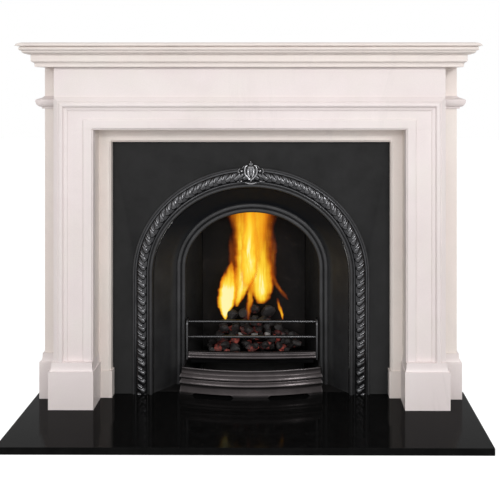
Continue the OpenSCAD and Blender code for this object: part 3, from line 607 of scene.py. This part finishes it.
def make_band():
    path = arch_path(BAND_STEP)
    length = abs(path[0][1])
    pitch = length / round(length / LEAF_SPACING)
    half = (BAND_OUT - OUTER_BEAD - OUTER_GAP - BAND_IN - INNER_BEAD - INNER_GAP) / 2
    mid = BAND_OUT - OUTER_BEAD - OUTER_GAP - half
    front = [(BAND_OUT, PLATE_REACH)]
    front += bead(BAND_OUT, BAND_OUT - OUTER_BEAD, BEAD_FOOT, OUTER_BEAD_HIGH, 8)
    back = bead(BAND_IN + INNER_BEAD, BAND_IN, BEAD_FOOT, INNER_BEAD_HIGH, 12)
    back += [(BAND_IN, PLATE_BACK), (BAND_OUT - BAND_LAP, PLATE_BACK), (BAND_OUT - BAND_LAP, PLATE_REACH)]
    rings = []
    for at, s in path:
        ornament = []
        for i in range(RELIEF_COLS + 1):
            u = half * (1 - 2 * i / RELIEF_COLS)
            ornament.append((mid + u, GROUND + relief(s, u, pitch)))
        rings.append(arch_ring(at, front + ornament + back))
    solid = Solid()
    solid.rings(rings, second=range(len(front), len(front) + RELIEF_COLS))
    solid.piece("ornament_band", "iron", "surround", ("arch_band", "band_leg_left", "band_leg_right"),
                ("casting", "rubbed_sheen"), sharp=60)


# The reveal's section: a rim behind the band, a flat splay and a double bead round its mouth. Rim
# and splay start at places given as inwards from the band and back from the plate's face. Bases and
# heights of the beads are given from the outer one to the inner.
REVEAL_STEP = 8
REVEAL_BACK = REVEAL_LEG.back
REVEAL_IN = 270.0
REVEAL_FLANGE = 9.0
MOUTH_IN = -REVEAL_LEG.right
BAND_GAP = 0.3
RIM = ((BAND_GAP, 3), (1.4, 10))
RIM_THICK = 3.0
SPLAY_START = (3, 8)
SPLAY_END = 6.0
SPLAY_PARTS = 6
BEAD_WIDE = 16.2
BEAD_GROOVE = 1.0
BEAD_BASES = (5.0, 3.0)
BEAD_HIGHS = (5.0, 4.5)


def make_reveal():
    rim = [(BAND_IN - inwards, PLATE_REACH - back) for inwards, back in RIM]
    x0, y0 = BAND_IN - SPLAY_START[0], PLATE_REACH - SPLAY_START[1]
    x1, y1 = REVEAL_IN, REVEAL_BACK + SPLAY_END
    splay = [(x0 + (x1 - x0) * i / SPLAY_PARTS, y0 + (y1 - y0) * i / SPLAY_PARTS)
             for i in range(SPLAY_PARTS)]
    mouth = [(REVEAL_IN, REVEAL_BACK + BEAD_BASES[0])]
    for a0, a1, base, high in zip((REVEAL_IN, REVEAL_IN - BEAD_WIDE - BEAD_GROOVE),
                                  (REVEAL_IN - BEAD_WIDE, MOUTH_IN), BEAD_BASES, BEAD_HIGHS):
        mouth += cushion(a0, a1, REVEAL_BACK + base, high)
    back = [(MOUTH_IN, REVEAL_BACK), (REVEAL_IN + REVEAL_FLANGE, REVEAL_BACK),
            (BAND_IN - BAND_GAP, PLATE_BACK - RIM_THICK)]
    section = rim + splay + mouth + back
    solid = Solid()
    solid.rings([arch_ring(at, section) for at, _ in arch_path(REVEAL_STEP)],
                second=range(len(rim + splay), len(section) - len(back)))
    solid.piece("splayed_reveal", "iron", "surround", ("arch_reveal", "reveal_leg_left", "reveal_leg_right"),
                ("splay", "casting"))


# The crest, laid out from its middle on the right side: along, out and up. Ovals are a centre, radii
# and a lean in degrees.
CREST_RISE = 17.0
CREST_Z = ARCH_SPRING + (BAND_OUT + BAND_IN) / 2 - ARCH_DROP + CREST_RISE
SHIELD = ((0, 24, 1), (19, 4, 23))
PENDANT = ((0, 32, -27), (3.4, 5, 5))

# Stems give a radius at each stop: the shield's bracket, the lobe inside it and a vein beside the
# middle slot.
CREST_STEMS = (
    ((11, 33, 24, 1.5), (14.5, 33, 25, 2.6), (17.5, 33, 22, 3.0), (20, 33, 15, 3.1), (21.2, 33, 6, 3.1),
     (19.5, 33, -3, 3.1), (15.5, 33, -11, 3.0), (9.5, 33, -18, 2.7), (3, 33, -23.5, 2.2),
     (0, 33, -25.5, 1.8)),
    ((4, 30, -17, 1.4), (7.5, 31.5, -9, 2.8), (9.5, 32, 0, 3.2), (9.5, 31, 9, 2.6), (8, 29.5, 15, 1.2)),
    ((2.6, 30, -8, 0.8), (2.8, 30, 0, 1.1), (2.4, 30, 8, 1.0), (1.6, 30, 14, 0.7)),
)

# Beside the shield: a pearl with a forked leaf, three more leaves, and two pearls under them on the
# band.
CREST_OVALS = (
    ((31.5, 33, 6), (5.2, 5.5, 5.2), 0),
    ((41.5, 32, 10.5), (3.4, 4.5, 7), 34),
    ((41.5, 32, 1.5), (3.4, 4.5, 7), -34),
    ((26, 29, 19), (2.8, 4, 7.5), 40),
    ((30, 30, -10), (3.0, 4.5, 8.5), 28),
    ((40, 30, -15), (2.6, 4.2, 7), 50),
    ((33, 31, -29.5), (5.0, 5.5, 4.6), 0),
    ((44, 30, -31), (4.6, 4.6, 2.6), -14),
)

# The three-lobed leaf on top: lean, height of its middle and half length.
CREST_LEAF = ((0, 32, 9.0), (34, 29, 6.0), (-34, 29, 6.0))
CREST_LEAF_SPREAD = 7

# The festoon below the pendant, thicker and lower in its middle, with a knot at each end.
FESTOON_HALF = 17
FESTOON_Z = -34.5
FESTOON_SAG = 3.5
FESTOON_R = 1.4
FESTOON_SWELL = 1.6
FESTOON_OUT = 31.5
KNOT_Z = -34
KNOT = (3.4, 4, 3.4)


def make_crest():
    solid = Solid()

    def oval(centre, radii, turn=0.0, side=1, seg=20):
        solid.oval((side * centre[0], centre[1], CREST_Z + centre[2]), radii, side * turn, seg)

    def stem(stops, side=1):
        solid.stem([(side * x, y, CREST_Z + z, r) for x, y, z, r in stops])

    oval(*SHIELD, seg=36)
    for side in (-1, 1):
        for stops in CREST_STEMS:
            stem(stops, side)
        for centre, radii, turn in CREST_OVALS:
            oval(centre, radii, turn, side)
    for turn, z, length in CREST_LEAF:
        oval((-math.sin(math.radians(turn)) * CREST_LEAF_SPREAD, 33, z), (3.4, 5, length), turn)
    oval(*PENDANT)
    bend = [(x, 1 - (x / FESTOON_HALF) ** 2) for x in range(-FESTOON_HALF, FESTOON_HALF + 1, 2)]
    stem([(x, FESTOON_OUT, FESTOON_Z - FESTOON_SAG * deep, FESTOON_R + FESTOON_SWELL * deep)
          for x, deep in bend])
    for side in (-1, 1):
        oval((FESTOON_HALF, FESTOON_OUT, KNOT_Z), KNOT, side=side)
    solid.piece("crown_ornament", "iron", "surround", ("arch_crest",), ("crest",), sharp=70)


# The lift-out bars: two round bars and a bowed rail between end plates with rounded heads.
BARS = Packed("front_bars")
BARS_PLATE = 8.0
BARS_INNER = BARS.right - BARS_PLATE
PLATE_DEEP = 24.0
PLATE_EDGE = 1.4
HEAD_RISE = 12.0
BAR_HIGH = BARS.top - HEAD_RISE
BAR_LOW = 171.0
BARS_REACH = BARS.back + PLATE_DEEP / 2
BAR_R = 5.6
NECK_R = 4.6
NECK = 7.0
NECK_END = 9.0
BAR_SEG = 24
RAIL_Z = BARS.foot
RAIL_H = 28.0
RAIL_BOW = 14.0
RAIL_BACK = -10.0
RAIL_PARTS = 64


def add_round_bar(solid, z):
    """Round bar, turned down a little where it enters the end plates."""
    stops = [(-BARS_INNER, NECK_R), (-BARS_INNER + NECK, NECK_R), (-BARS_INNER + NECK_END, BAR_R),
             (BARS_INNER - NECK_END, BAR_R), (BARS_INNER - NECK, NECK_R), (BARS_INNER, NECK_R)]
    rings = []
    for x, r in stops:
        rings.append([(x, BARS_REACH + r * math.cos(math.tau * j / BAR_SEG),
                       z + r * math.sin(math.tau * j / BAR_SEG)) for j in range(BAR_SEG)])
    solid.rings(rings, second=range(BAR_SEG))


def add_end_plate(solid, side):
    """End plate with a rounded head and eased edges."""
    back, front = BARS.back, BARS.back + PLATE_DEEP
    outline = [(back, RAIL_Z), (front, RAIL_Z), (front, BAR_HIGH - HEAD_RISE)]
    outline += arc((back, BAR_HIGH - HEAD_RISE), (PLATE_DEEP, PLATE_DEEP), range(10, 81, 10))
    outline += [(back, BAR_HIGH + HEAD_RISE)]
    mid = [sum(p[i] for p in outline) / len(outline) for i in (0, 1)]
    rings = []
    for x, inset in ((BARS_INNER, PLATE_EDGE), (BARS_INNER + PLATE_EDGE, 0), (BARS.right - PLATE_EDGE, 0),
                     (BARS.right, PLATE_EDGE)):
        ring = []
        for y, z in outline:
            dy, dz = y - mid[0], z - mid[1]
            ring.append((side * x, mid[0] + math.copysign(max(abs(dy) - inset, 0), dy),
                         mid[1] + math.copysign(max(abs(dz) - inset, 0), dz)))
        rings.append(ring)
    solid.rings(rings, second=range(len(outline)))


def add_rail(solid):
    """Bowed rail: a broad round along its foot, a hollow over it and a thin rolled lip on top."""
    section = [(RAIL_BACK, 0), (3, 0)]
    section += arc((3.4, 8.6), (8.2, 8.0), range(-80, 61, 10))
    section += [(6.2, 17.2), (5.0, 19.4), (4.6, 21.6)]
    section += arc((2.6, 24.2), (3.6, 3.6), range(-40, 91, 13))
    section += [(RAIL_BACK, RAIL_H - 0.2)]
    radius = bow_radius(BARS.right, RAIL_BOW)
    middle = BARS_REACH + RAIL_BOW - radius
    rings = []
    for i in range(RAIL_PARTS + 1):
        x = BARS_INNER * (2 * i / RAIL_PARTS - 1)
        rings.append([(x, middle + math.sqrt((radius + out) ** 2 - x * x), RAIL_Z + z) for out, z in section])
    solid.rings(rings)


def make_front_bars():
    solid = Solid()
    for z in (BAR_HIGH, BAR_LOW):
        add_round_bar(solid, z)
    for side in (-1, 1):
        add_end_plate(solid, side)
    add_rail(solid)
    solid.piece("front_grate_bars", "iron", "bars", ("front_bars",), ("burnished", "bar_iron"))


# The ash cover: a bowed front between short wings. The line that its section follows lies a little
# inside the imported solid, whose ridges stand out to COVER_PROUD.
COVER = Packed("ash_cover")
COVER_PROUD = 1.0
COVER_HALF = COVER.right - COVER_PROUD
COVER_REACH = 20.0
COVER_BOW = COVER.front - COVER_PROUD - COVER_REACH
COVER_T = 5.0
COVER_PARTS = 120
WING_PARTS = 9

# Its face, as offsets out and heights or drops: a lip over a plain leaning face, two ridges with a
# groove between them, and a plinth.
LIP = ((-11.6, COVER.top), (-9.6, 89.7), (-9.0, 88.8), (-9.0, 86.0))
LEAN = ((-8.8, 81.0), (-8.4, 76.5), (-7.8, 73.2), (-6.6, 71.0))
RIDGE_TOPS = (69.6, 48.8)
RIDGE = ((-4.4, 0.0), (-3.0, 2.0), (-1.3, 5.0), (0.2, 8.4), (0.7, 10.6), (0.4, 12.4), (-0.8, 13.5),
         (-3.2, 14.2))
GROOVE = ((-5.6, 15.2), (-6.2, 17.2), (-5.8, 19.2))
PLINTH = ((-3.8, 32.0), (-3.0, 26.0), (-1.6, 17.0), (-0.3, 10.8), (0.2, 8.6))
LIP_FOLD = ((-15.0, 88.6), (-13.6, COVER.top))
LIP_UNDER = 88.0

# Its foot: a tongue in the middle and a foot at each end, with the edge raised between them on short
# slopes. The wings' edge is raised a little too, as at a place WING_IN into a slope.
FOOT_LOW = 0.5
FOOT_OUT = 0.4
TONGUE_HALF = 64.0
COVER_FOOT = 50.0
COVER_CUT = 8.0
SLOPE_LEAD = 6.0
SLOPE = 9.0
WING_IN = -1.0


def cover_line():
    """Plan of the cover from the right wing round to the left: places and outward directions."""
    radius = bow_radius(COVER_HALF, COVER_BOW)
    sweep = math.asin(COVER_HALF / radius)
    middle = COVER_REACH + COVER_BOW - radius
    wing = COVER_REACH - COVER.back
    mitre = math.cos(sweep) / (1 + math.sin(sweep))
    line = [((COVER_HALF, COVER.back + wing * i / WING_PARTS), (1.0, 0.0)) for i in range(WING_PARTS)]
    line.append(((COVER_HALF, COVER_REACH), (1.0, mitre)))
    for i in range(1, COVER_PARTS):
        t = sweep * (1 - 2 * i / COVER_PARTS)
        line.append(((radius * math.sin(t), middle + radius * math.cos(t)), (math.sin(t), math.cos(t))))
    line.append(((-COVER_HALF, COVER_REACH), (-1.0, mitre)))
    line += [((-COVER_HALF, COVER_REACH - wing * (i + 1) / WING_PARTS), (-1.0, 0.0))
             for i in range(WING_PARTS)]
    return line


def cover_foot(x, y):
    """Height of the cover's lower edge at a place of its plan."""
    inside = min(abs(x) - TONGUE_HALF, COVER_HALF - COVER_FOOT - abs(x)) if y >= COVER_REACH else WING_IN
    return FOOT_LOW + min(max((inside + SLOPE_LEAD) / SLOPE, 0), 1) * (COVER_CUT - FOOT_LOW)


def foot_turn(low):
    """Height at which the plinth turns in to the lower edge, closer to it where the edge is raised."""
    return max(low + 2.4, 4.0) if low < 5 else low + 1.4


def make_ash_cover():
    face = list(LIP + LEAN)
    for top, drops in zip(RIDGE_TOPS, (RIDGE + GROOVE, RIDGE)):
        face += [(out, top - drop) for out, drop in drops]
    face += PLINTH
    rings = []
    for (x, y), (dx, dy) in cover_line():
        low = cover_foot(x, y)
        outer = face + [(FOOT_OUT, foot_turn(low))]
        inner = [(out - COVER_T, z) for out, z in reversed(outer) if z < LIP_UNDER]
        section = outer + [(0.0, low), (-COVER_T, low)] + inner + list(LIP_FOLD)
        rings.append([(x + out * dx, y + out * dy, z) for out, z in section])
    solid = Solid()
    solid.rings(rings)
    solid.piece("ash_cover_casting", "iron", "cover", ("ash_cover",), ("burnished",))


# Lumps of the fire that the photograph shows, as centre and radius: three in front, grey with ash
# and painted paler with firelight, and the big ones on top.
ASHY_FIRELIT_LUMPS = (((-42, -97, 167), 12), ((6, -96, 165), 15), ((53, -97, 168), 13))
BIG_LUMPS = (((48, -150, 236), 31), ((-76, -140, 234), 28), ((-30, -158, 226), 26), ((6, -118, 214), 22),
             ((-104, -112, 190), 20), ((92, -116, 192), 20))

# The heap that the rest of the coals fill: half length, reaches, foot, slope from back to front,
# and how close the lumps may lie, as a share of their radii.
HEAP_LUMPS = 87
HEAP_TRIES = 9000
HEAP_R = (15, 25)
HEAP_HALF = 178
HEAP_BACK = -205
HEAP_FRONT = -86
HEAP_MIDDLE = -150
HEAP_SLOPE = -0.16
HEAP_FOOT = 96
HEAP_CLOSE = 0.80

# The embers inside it: half length, reaches, foot, and depth below the heap's top.
EMBERS = 46
EMBER_R = (12, 19)
EMBER_HALF = 130
EMBER_REACH = (-190, -104)
EMBER_FOOT = 102
EMBER_DEEP = 44

# How a lump is cut: number of flat faces, their least and most distance out, their flatness, and
# the size and frequency of the noise before and after the cuts.
LUMP_CUTS = 13
CUT_AT = (0.48, 0.78)
CUT_FLAT = 0.94
SWELL = (0.18, 1.2)
ROUGHEN = (0.12, 4.5)


def random_vector(draw):
    """Vector of three draws."""
    return Vector([draw() for _ in range(3)])


def lump(solid, rng, centre, radii, detail=3):
    """Irregular lump of coal: a sphere swelled by noise, cut by flat faces and roughened."""
    work = bmesh.new()
    bmesh.ops.create_icosphere(work, subdivisions=detail, radius=1.0)
    seed = random_vector(lambda: rng.uniform(-50, 50))
    planes = []
    for _ in range(LUMP_CUTS):
        normal = random_vector(lambda: rng.gauss(0, 1)).normalized()
        planes.append((normal, rng.uniform(*CUT_AT)))
    spin = Matrix.Rotation(rng.uniform(0, math.tau), 3,
                           Vector((rng.gauss(0, 1), rng.gauss(0, 1), 1)).normalized())
    base = len(solid.verts)
    for v in work.verts:
        p = v.co.copy()
        p *= 1 + SWELL[0] * noise.noise(p * SWELL[1] + seed)
        for normal, at in planes:
            over = p.dot(normal) - at
            if over > 0:
                p -= normal * over * CUT_FLAT
        p *= 1 + ROUGHEN[0] * noise.noise(p * ROUGHEN[1] + seed)
        p = spin @ p
        solid.verts.append(tuple(centre[i] + p[i] * radii[i] for i in range(3)))
    solid.faces.extend(tuple(base + v.index for v in f.verts) for f in work.faces)
    work.free()


def heap_top(x):
    """Height of the heap over the hearth: a broad crown that falls off to both ends, a little wavy."""
    return 150 + 96 * math.exp(-((x + 8) / 104) ** 4) + 8 * math.sin(x / 19)


def make_coals():
    rng = random.Random(SEED)
    placed = list(ASHY_FIRELIT_LUMPS + BIG_LUMPS)
    tries = 0
    while len(placed) < HEAP_LUMPS and tries < HEAP_TRIES:
        tries += 1
        r = rng.uniform(*HEAP_R)
        x = rng.uniform(-HEAP_HALF + r, HEAP_HALF - r)
        y = rng.uniform(HEAP_BACK + r * 0.8, HEAP_FRONT - r * 0.8)
        top = heap_top(x) + (y - HEAP_MIDDLE) * HEAP_SLOPE
        z = rng.uniform(HEAP_FOOT + r * 0.6, max(HEAP_FOOT + 1 + r * 0.6, top - r * 0.5))
        if all(math.dist((x, y, z), c) > HEAP_CLOSE * (r + q) for c, q in placed):
            placed.append(((x, y, z), r))
    coals = Solid()
    for centre, r in placed[len(ASHY_FIRELIT_LUMPS):]:
        lump(coals, rng, centre, (r * rng.uniform(0.95, 1.12), r * 0.86, r * rng.uniform(0.82, 1.0)))
    coals.piece("coals", "coal", "surround", ("coal_bed",), sharp=42)
    ashy_firelit = Solid()
    for centre, r in ASHY_FIRELIT_LUMPS:
        lump(ashy_firelit, rng, centre, (r, r * 0.86, r * 0.95))
    ashy_firelit.piece("ashy_firelit_lumps", "coal", "surround", (), ("ashy_firelit_coal",), sharp=42)
    embers = Solid()
    for _ in range(EMBERS):
        x = rng.uniform(-EMBER_HALF, EMBER_HALF)
        r = rng.uniform(*EMBER_R)
        y = rng.uniform(*EMBER_REACH)
        z = rng.uniform(EMBER_FOOT, max(EMBER_FOOT + 6, heap_top(x) - EMBER_DEEP))
        lump(embers, rng, (x, y, z), (r, r * 0.85, r * 0.85), 2)
    embers.piece("embers", "coal", "surround", (), ("ember",), sharp=50)


# Flames over the fire: each tongue is its reach and then, from its foot up, rows of height, left
# edge, right edge (millimetres) and warmth.
FLAMES = (
    (-140, (212, -102, -97, 0.6), (232, -118, -86, 1.15), (260, -131, -66, 1.4), (290, -133, -56, 1.45),
     (318, -129, -54, 1.3), (345, -122, -56, 1.05), (370, -112, -60, 0.75), (392, -100, -64, 0.55),
     (412, -88, -70, 0.38), (428, -80, -74, 0.1)),
    (-150, (262, -86, -60, 0.2), (284, -92, -52, 0.5), (312, -92, -46, 0.62), (340, -90, -44, 0.6),
     (366, -84, -46, 0.5), (396, -78, -50, 0.32), (420, -72, -54, 0.05)),
    (-134, (330, -120, -104, 0.35), (352, -118, -98, 0.5), (374, -112, -98, 0.35),
     (392, -107, -101, 0.05)),
    (-158, (254, -66, -54, 0.35), (276, -76, -38, 0.75), (305, -82, -20, 0.9), (338, -80, 0, 0.95),
     (367, -74, 14, 1.0), (404, -70, 24, 1.0), (440, -72, 33, 0.98), (484, -76, 44, 0.9),
     (528, -82, 54, 0.8), (572, -92, 64, 0.66), (604, -100, 72, 0.6), (640, -106, 76, 0.5)),
    (-172, (262, 10, 46, 0.4), (280, 0, 64, 0.85), (305, -14, 76, 1.05), (345, -22, 76, 1.05),
     (382, -26, 72, 1.0), (418, -28, 70, 0.85), (462, -38, 72, 0.7), (506, -50, 76, 0.62),
     (550, -62, 83, 0.56), (593, -76, 94, 0.52), (640, -84, 104, 0.45)),
    (-126, (326, -40, -20, 0.2), (352, -46, 8, 0.75), (392, -48, 22, 1.05), (436, -46, 22, 1.12),
     (484, -43, 20, 1.05), (534, -40, 18, 0.85), (580, -36, 16, 0.6), (640, -30, 14, 0.45)),
    (-118, (214, -19, -14, 0.2), (240, -24, -6, 0.34), (272, -26, 2, 0.46), (305, -25, 6, 0.55),
     (340, -20, 10, 0.4), (372, -12, 10, 0.1)),
    (-166, (330, -106, -70, 0.12), (380, -98, -54, 0.26), (430, -92, -48, 0.28), (480, -94, -56, 0.22),
     (520, -92, -66, 0.05)),
    (-166, (330, 60, 82, 0.2), (380, 54, 86, 0.3), (430, 52, 87, 0.3), (480, 56, 88, 0.24),
     (520, 60, 88, 0.05)),
    (-138, (212, 106, 112, 0.3), (228, 98, 113, 0.6), (246, 92, 108, 0.55), (268, 88, 100, 0.4),
     (290, 84, 94, 0.1)),
    (-146, (282, 122, 130, 0.14), (296, 104, 126, 0.26), (316, 88, 112, 0.29), (338, 74, 96, 0.29),
     (364, 62, 84, 0.26), (396, 54, 76, 0.08)),
)
FLAME_ROWS = 64
FLAME_SEG = 36
FLAME_DEEP = 9.0


def lick(seed, edge, z):
    """How far a flame's edge strays at a height, in slow waves and quick ones."""
    return (5.0 * noise.noise(seed + Vector((0, edge, z / 26)))
            + 2.4 * noise.noise(seed + Vector((5, edge, z / 9))))


def make_flames():
    solid = Solid()
    for index, (reach, *rows) in enumerate(FLAMES):
        low, high = rows[0][0], rows[-1][0]
        seed = Vector((7.3 * index, 3.1, 0.0))
        rings = []
        for k in range(FLAME_ROWS + 1):
            z = low + (high - low) * k / FLAME_ROWS
            at = max(i for i in range(len(rows) - 1) if rows[i][0] <= z)
            a, b = rows[at], rows[at + 1]
            u = (z - a[0]) / (b[0] - a[0])
            left, right, warm = (a[i] + (b[i] - a[i]) * u for i in (1, 2, 3))
            left += lick(seed, 0, z)
            right += lick(seed, 9, z)
            if right < left + 2:
                left, right = (left + right) / 2 - 1, (left + right) / 2 + 1
            wide = (right - left) / 2
            ring = []
            for j in range(FLAME_SEG):
                angle = math.tau * j / FLAME_SEG
                c, s = math.cos(angle), math.sin(angle)
                ring.append(((left + right) / 2 + wide * c, reach + min(wide * 0.3, FLAME_DEEP) * s, z))
                streak = 0.16 * noise.noise(seed + Vector((c * wide / 9, 0, z / 60)))
                solid.warmth.append(max(warm * (1 - c * c) ** 0.9 * (1 + streak), 0))
            rings.append(ring)
        solid.rings(rings)
    solid.piece("flames", "coal", "surround", (), ("flame",), sharp=180)


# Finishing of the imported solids

SOOTED = ("bottom_grate", "firebox_frame", "throat_plate", "damper_flap", "damper_pin")
CREAM = ("shelf", "cornice_front", "cornice_left", "cornice_right", "slip_plinth_left", "slip_plinth_right")
# Slabs set back in shade, under the header and beside the opening, get the lighter copy of the marble:
# painted light.
RECESS_LIT = ("header_soffit", "ground_top", "ground_left", "ground_right", "inner_cheek_left", "inner_cheek_right")
BEVELS = {"marble": 0.6 * MM, "granite": 1.6 * MM, "iron": 0.8 * MM, "firebrick": 1.5 * MM}
BEVEL_ANGLE = 28
WELD = 0.01 * MM


def dress_nodes():
    """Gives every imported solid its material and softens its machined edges."""
    slots = {s["node"]: s["material_slot"] for s in frame["record"]["subparts"]}
    finishes = {name: key for key, names in (("soot", SOOTED), ("marble_cream", CREAM), ("marble_cream_lit", RECESS_LIT))
                for name in names}
    for name, obj in frame["nodes"].items():
        slot = slots[name]
        obj.data.materials.clear()
        obj.data.materials.append(MATERIALS[finishes.get(name, slot)])
        if slot not in BEVELS:
            continue
        weld = obj.modifiers.new("weld", "WELD")
        weld.merge_threshold = WELD
        bevel = obj.modifiers.new("bevel", "BEVEL")
        bevel.width = BEVELS[slot]
        bevel.segments = 2
        bevel.limit_method = "ANGLE"
        bevel.angle_limit = math.radians(BEVEL_ANGLE)
        normals = obj.modifiers.new("normals", "WEIGHTED_NORMAL")
        normals.keep_sharp = False


# Stage, light and camera

FLOOR_HALF = 14.0
FLOOR_GLOW = 0.86

# The world's dim fill, from its strength below the horizon to that overhead.
FILL_LOW = 0.53
FILL_HIGH = 0.59

# Lamps: name, place, what they face, size in metres and power in watts.
LAMPS = (
    ("front", (0.0, -4.8, 1.7), (0, 0, 0.6), (4.4, 2.4), 72),
    ("key", (-2.3, -3.8, 1.9), (0, 0, 0.65), (1.6, 0.8), 23),
    ("fill", (1.9, -3.4, 2.0), (0, 0, 0.65), (0.75, 0.4), 40),
)


def stage_material():
    """Plain pale floor that keeps the object's shadow and reads white to the camera."""
    n = Nodes("stage")
    path = n.add("LightPath")
    seen = n.add("Math", operation="MAXIMUM")
    n.link(path.outputs["Is Camera Ray"], seen.inputs[0])
    n.link(path.outputs["Is Glossy Ray"], seen.inputs[1])
    n.finish(Specular_IOR_Level=0.1, Base_Color=(0.32, 0.32, 0.32, 1.0), Roughness=0.9)
    glow = n.add("Emission")
    glow.inputs["Strength"].default_value = FLOOR_GLOW
    lit = n.add("AddShader")
    n.link(n.bsdf.outputs[0], lit.inputs[0])
    n.link(glow.outputs[0], lit.inputs[1])
    mix = n.add("MixShader")
    for socket, value in enumerate((seen, n.bsdf, lit)):
        n.link(value.outputs[0], mix.inputs[socket])
    n.link(mix.outputs[0], n.tree.nodes["Material Output"].inputs["Surface"])
    return n.mat


def make_stage():
    mesh = bpy.data.meshes.new("floor")
    corners = [(-1, -1), (1, -1), (1, 1), (-1, 1)]
    mesh.from_pydata([(x * FLOOR_HALF, y * FLOOR_HALF, 0) for x, y in corners], [], [(0, 1, 2, 3)])
    floor = bpy.data.objects.new("floor", mesh)
    bpy.context.scene.collection.objects.link(floor)
    floor.data.materials.append(stage_material())


def make_world():
    """White to the camera, glossy and transmission rays; a dim even fill to everything else."""
    world = bpy.data.worlds.new("studio")
    bpy.context.scene.world = world
    world.use_nodes = True
    nodes, link = world.node_tree.nodes, world.node_tree.links.new
    nodes.clear()

    def add(kind, **values):
        node = nodes.new("ShaderNode" + kind)
        for key, value in values.items():
            node.inputs[key.replace("_", " ")].default_value = value
        return node

    # The fill is a little stronger from above, like a ceiling of soft boxes.
    split = add("SeparateXYZ")
    height = add("MapRange", From_Min=-0.3, From_Max=0.8, To_Min=FILL_LOW, To_Max=FILL_HIGH)
    fill = add("Background", Color=(1.0, 1.0, 1.0, 1.0))
    link(add("TexCoord").outputs["Generated"], split.inputs[0])
    link(split.outputs["Z"], height.inputs["Value"])
    link(height.outputs["Result"], fill.inputs["Strength"])
    white = add("Background", Color=(1.0, 1.0, 1.0, 1.0), Strength=1.0)
    path = add("LightPath")
    seen = path.outputs["Is Camera Ray"]
    for ray in ("Is Glossy Ray", "Is Transmission Ray"):
        either = add("Math")
        either.operation = "MAXIMUM"
        link(seen, either.inputs[0])
        link(path.outputs[ray], either.inputs[1])
        seen = either.outputs[0]
    mix = add("MixShader")
    link(seen, mix.inputs[0])
    link(fill.outputs[0], mix.inputs[1])
    link(white.outputs[0], mix.inputs[2])
    link(mix.outputs[0], add("OutputWorld").inputs["Surface"])


def make_lights():
    for name, at, target, size, power in LAMPS:
        data = bpy.data.lights.new(name, "AREA")
        data.shape = "RECTANGLE"
        data.size, data.size_y = size
        data.energy = power
        lamp = bpy.data.objects.new(name, data)
        lamp.location = at
        lamp.rotation_euler = (Vector(target) - Vector(at)).to_track_quat("-Z", "Y").to_euler()
        bpy.context.scene.collection.objects.link(lamp)


def make_camera():
    data = bpy.data.cameras.new("camera")
    data.sensor_width = SENSOR
    data.sensor_fit = "HORIZONTAL"
    data.lens = SENSOR * FOCAL_PX / FRAME_PX
    data.shift_x = -SHIFT_PX / FRAME_PX
    data.shift_y = -(FRAME_PX / 2 - HORIZON_PX) / FRAME_PX
    camera = bpy.data.objects.new("camera", data)
    camera.location = (EYE_SIDE, WALL_Y - EYE_DISTANCE, HEARTH_TOP + EYE_HEIGHT)
    camera.rotation_euler = (math.pi / 2, 0, math.radians(EYE_TURN))
    bpy.context.scene.collection.objects.link(camera)
    bpy.context.scene.camera = camera


make_camera()
make_band()
make_reveal()
make_crest()
make_front_bars()
make_ash_cover()
make_coals()
make_flames()
dress_nodes()
make_stage()
make_world()
make_lights()
bpy.context.scene.view_settings.view_transform = "Standard"
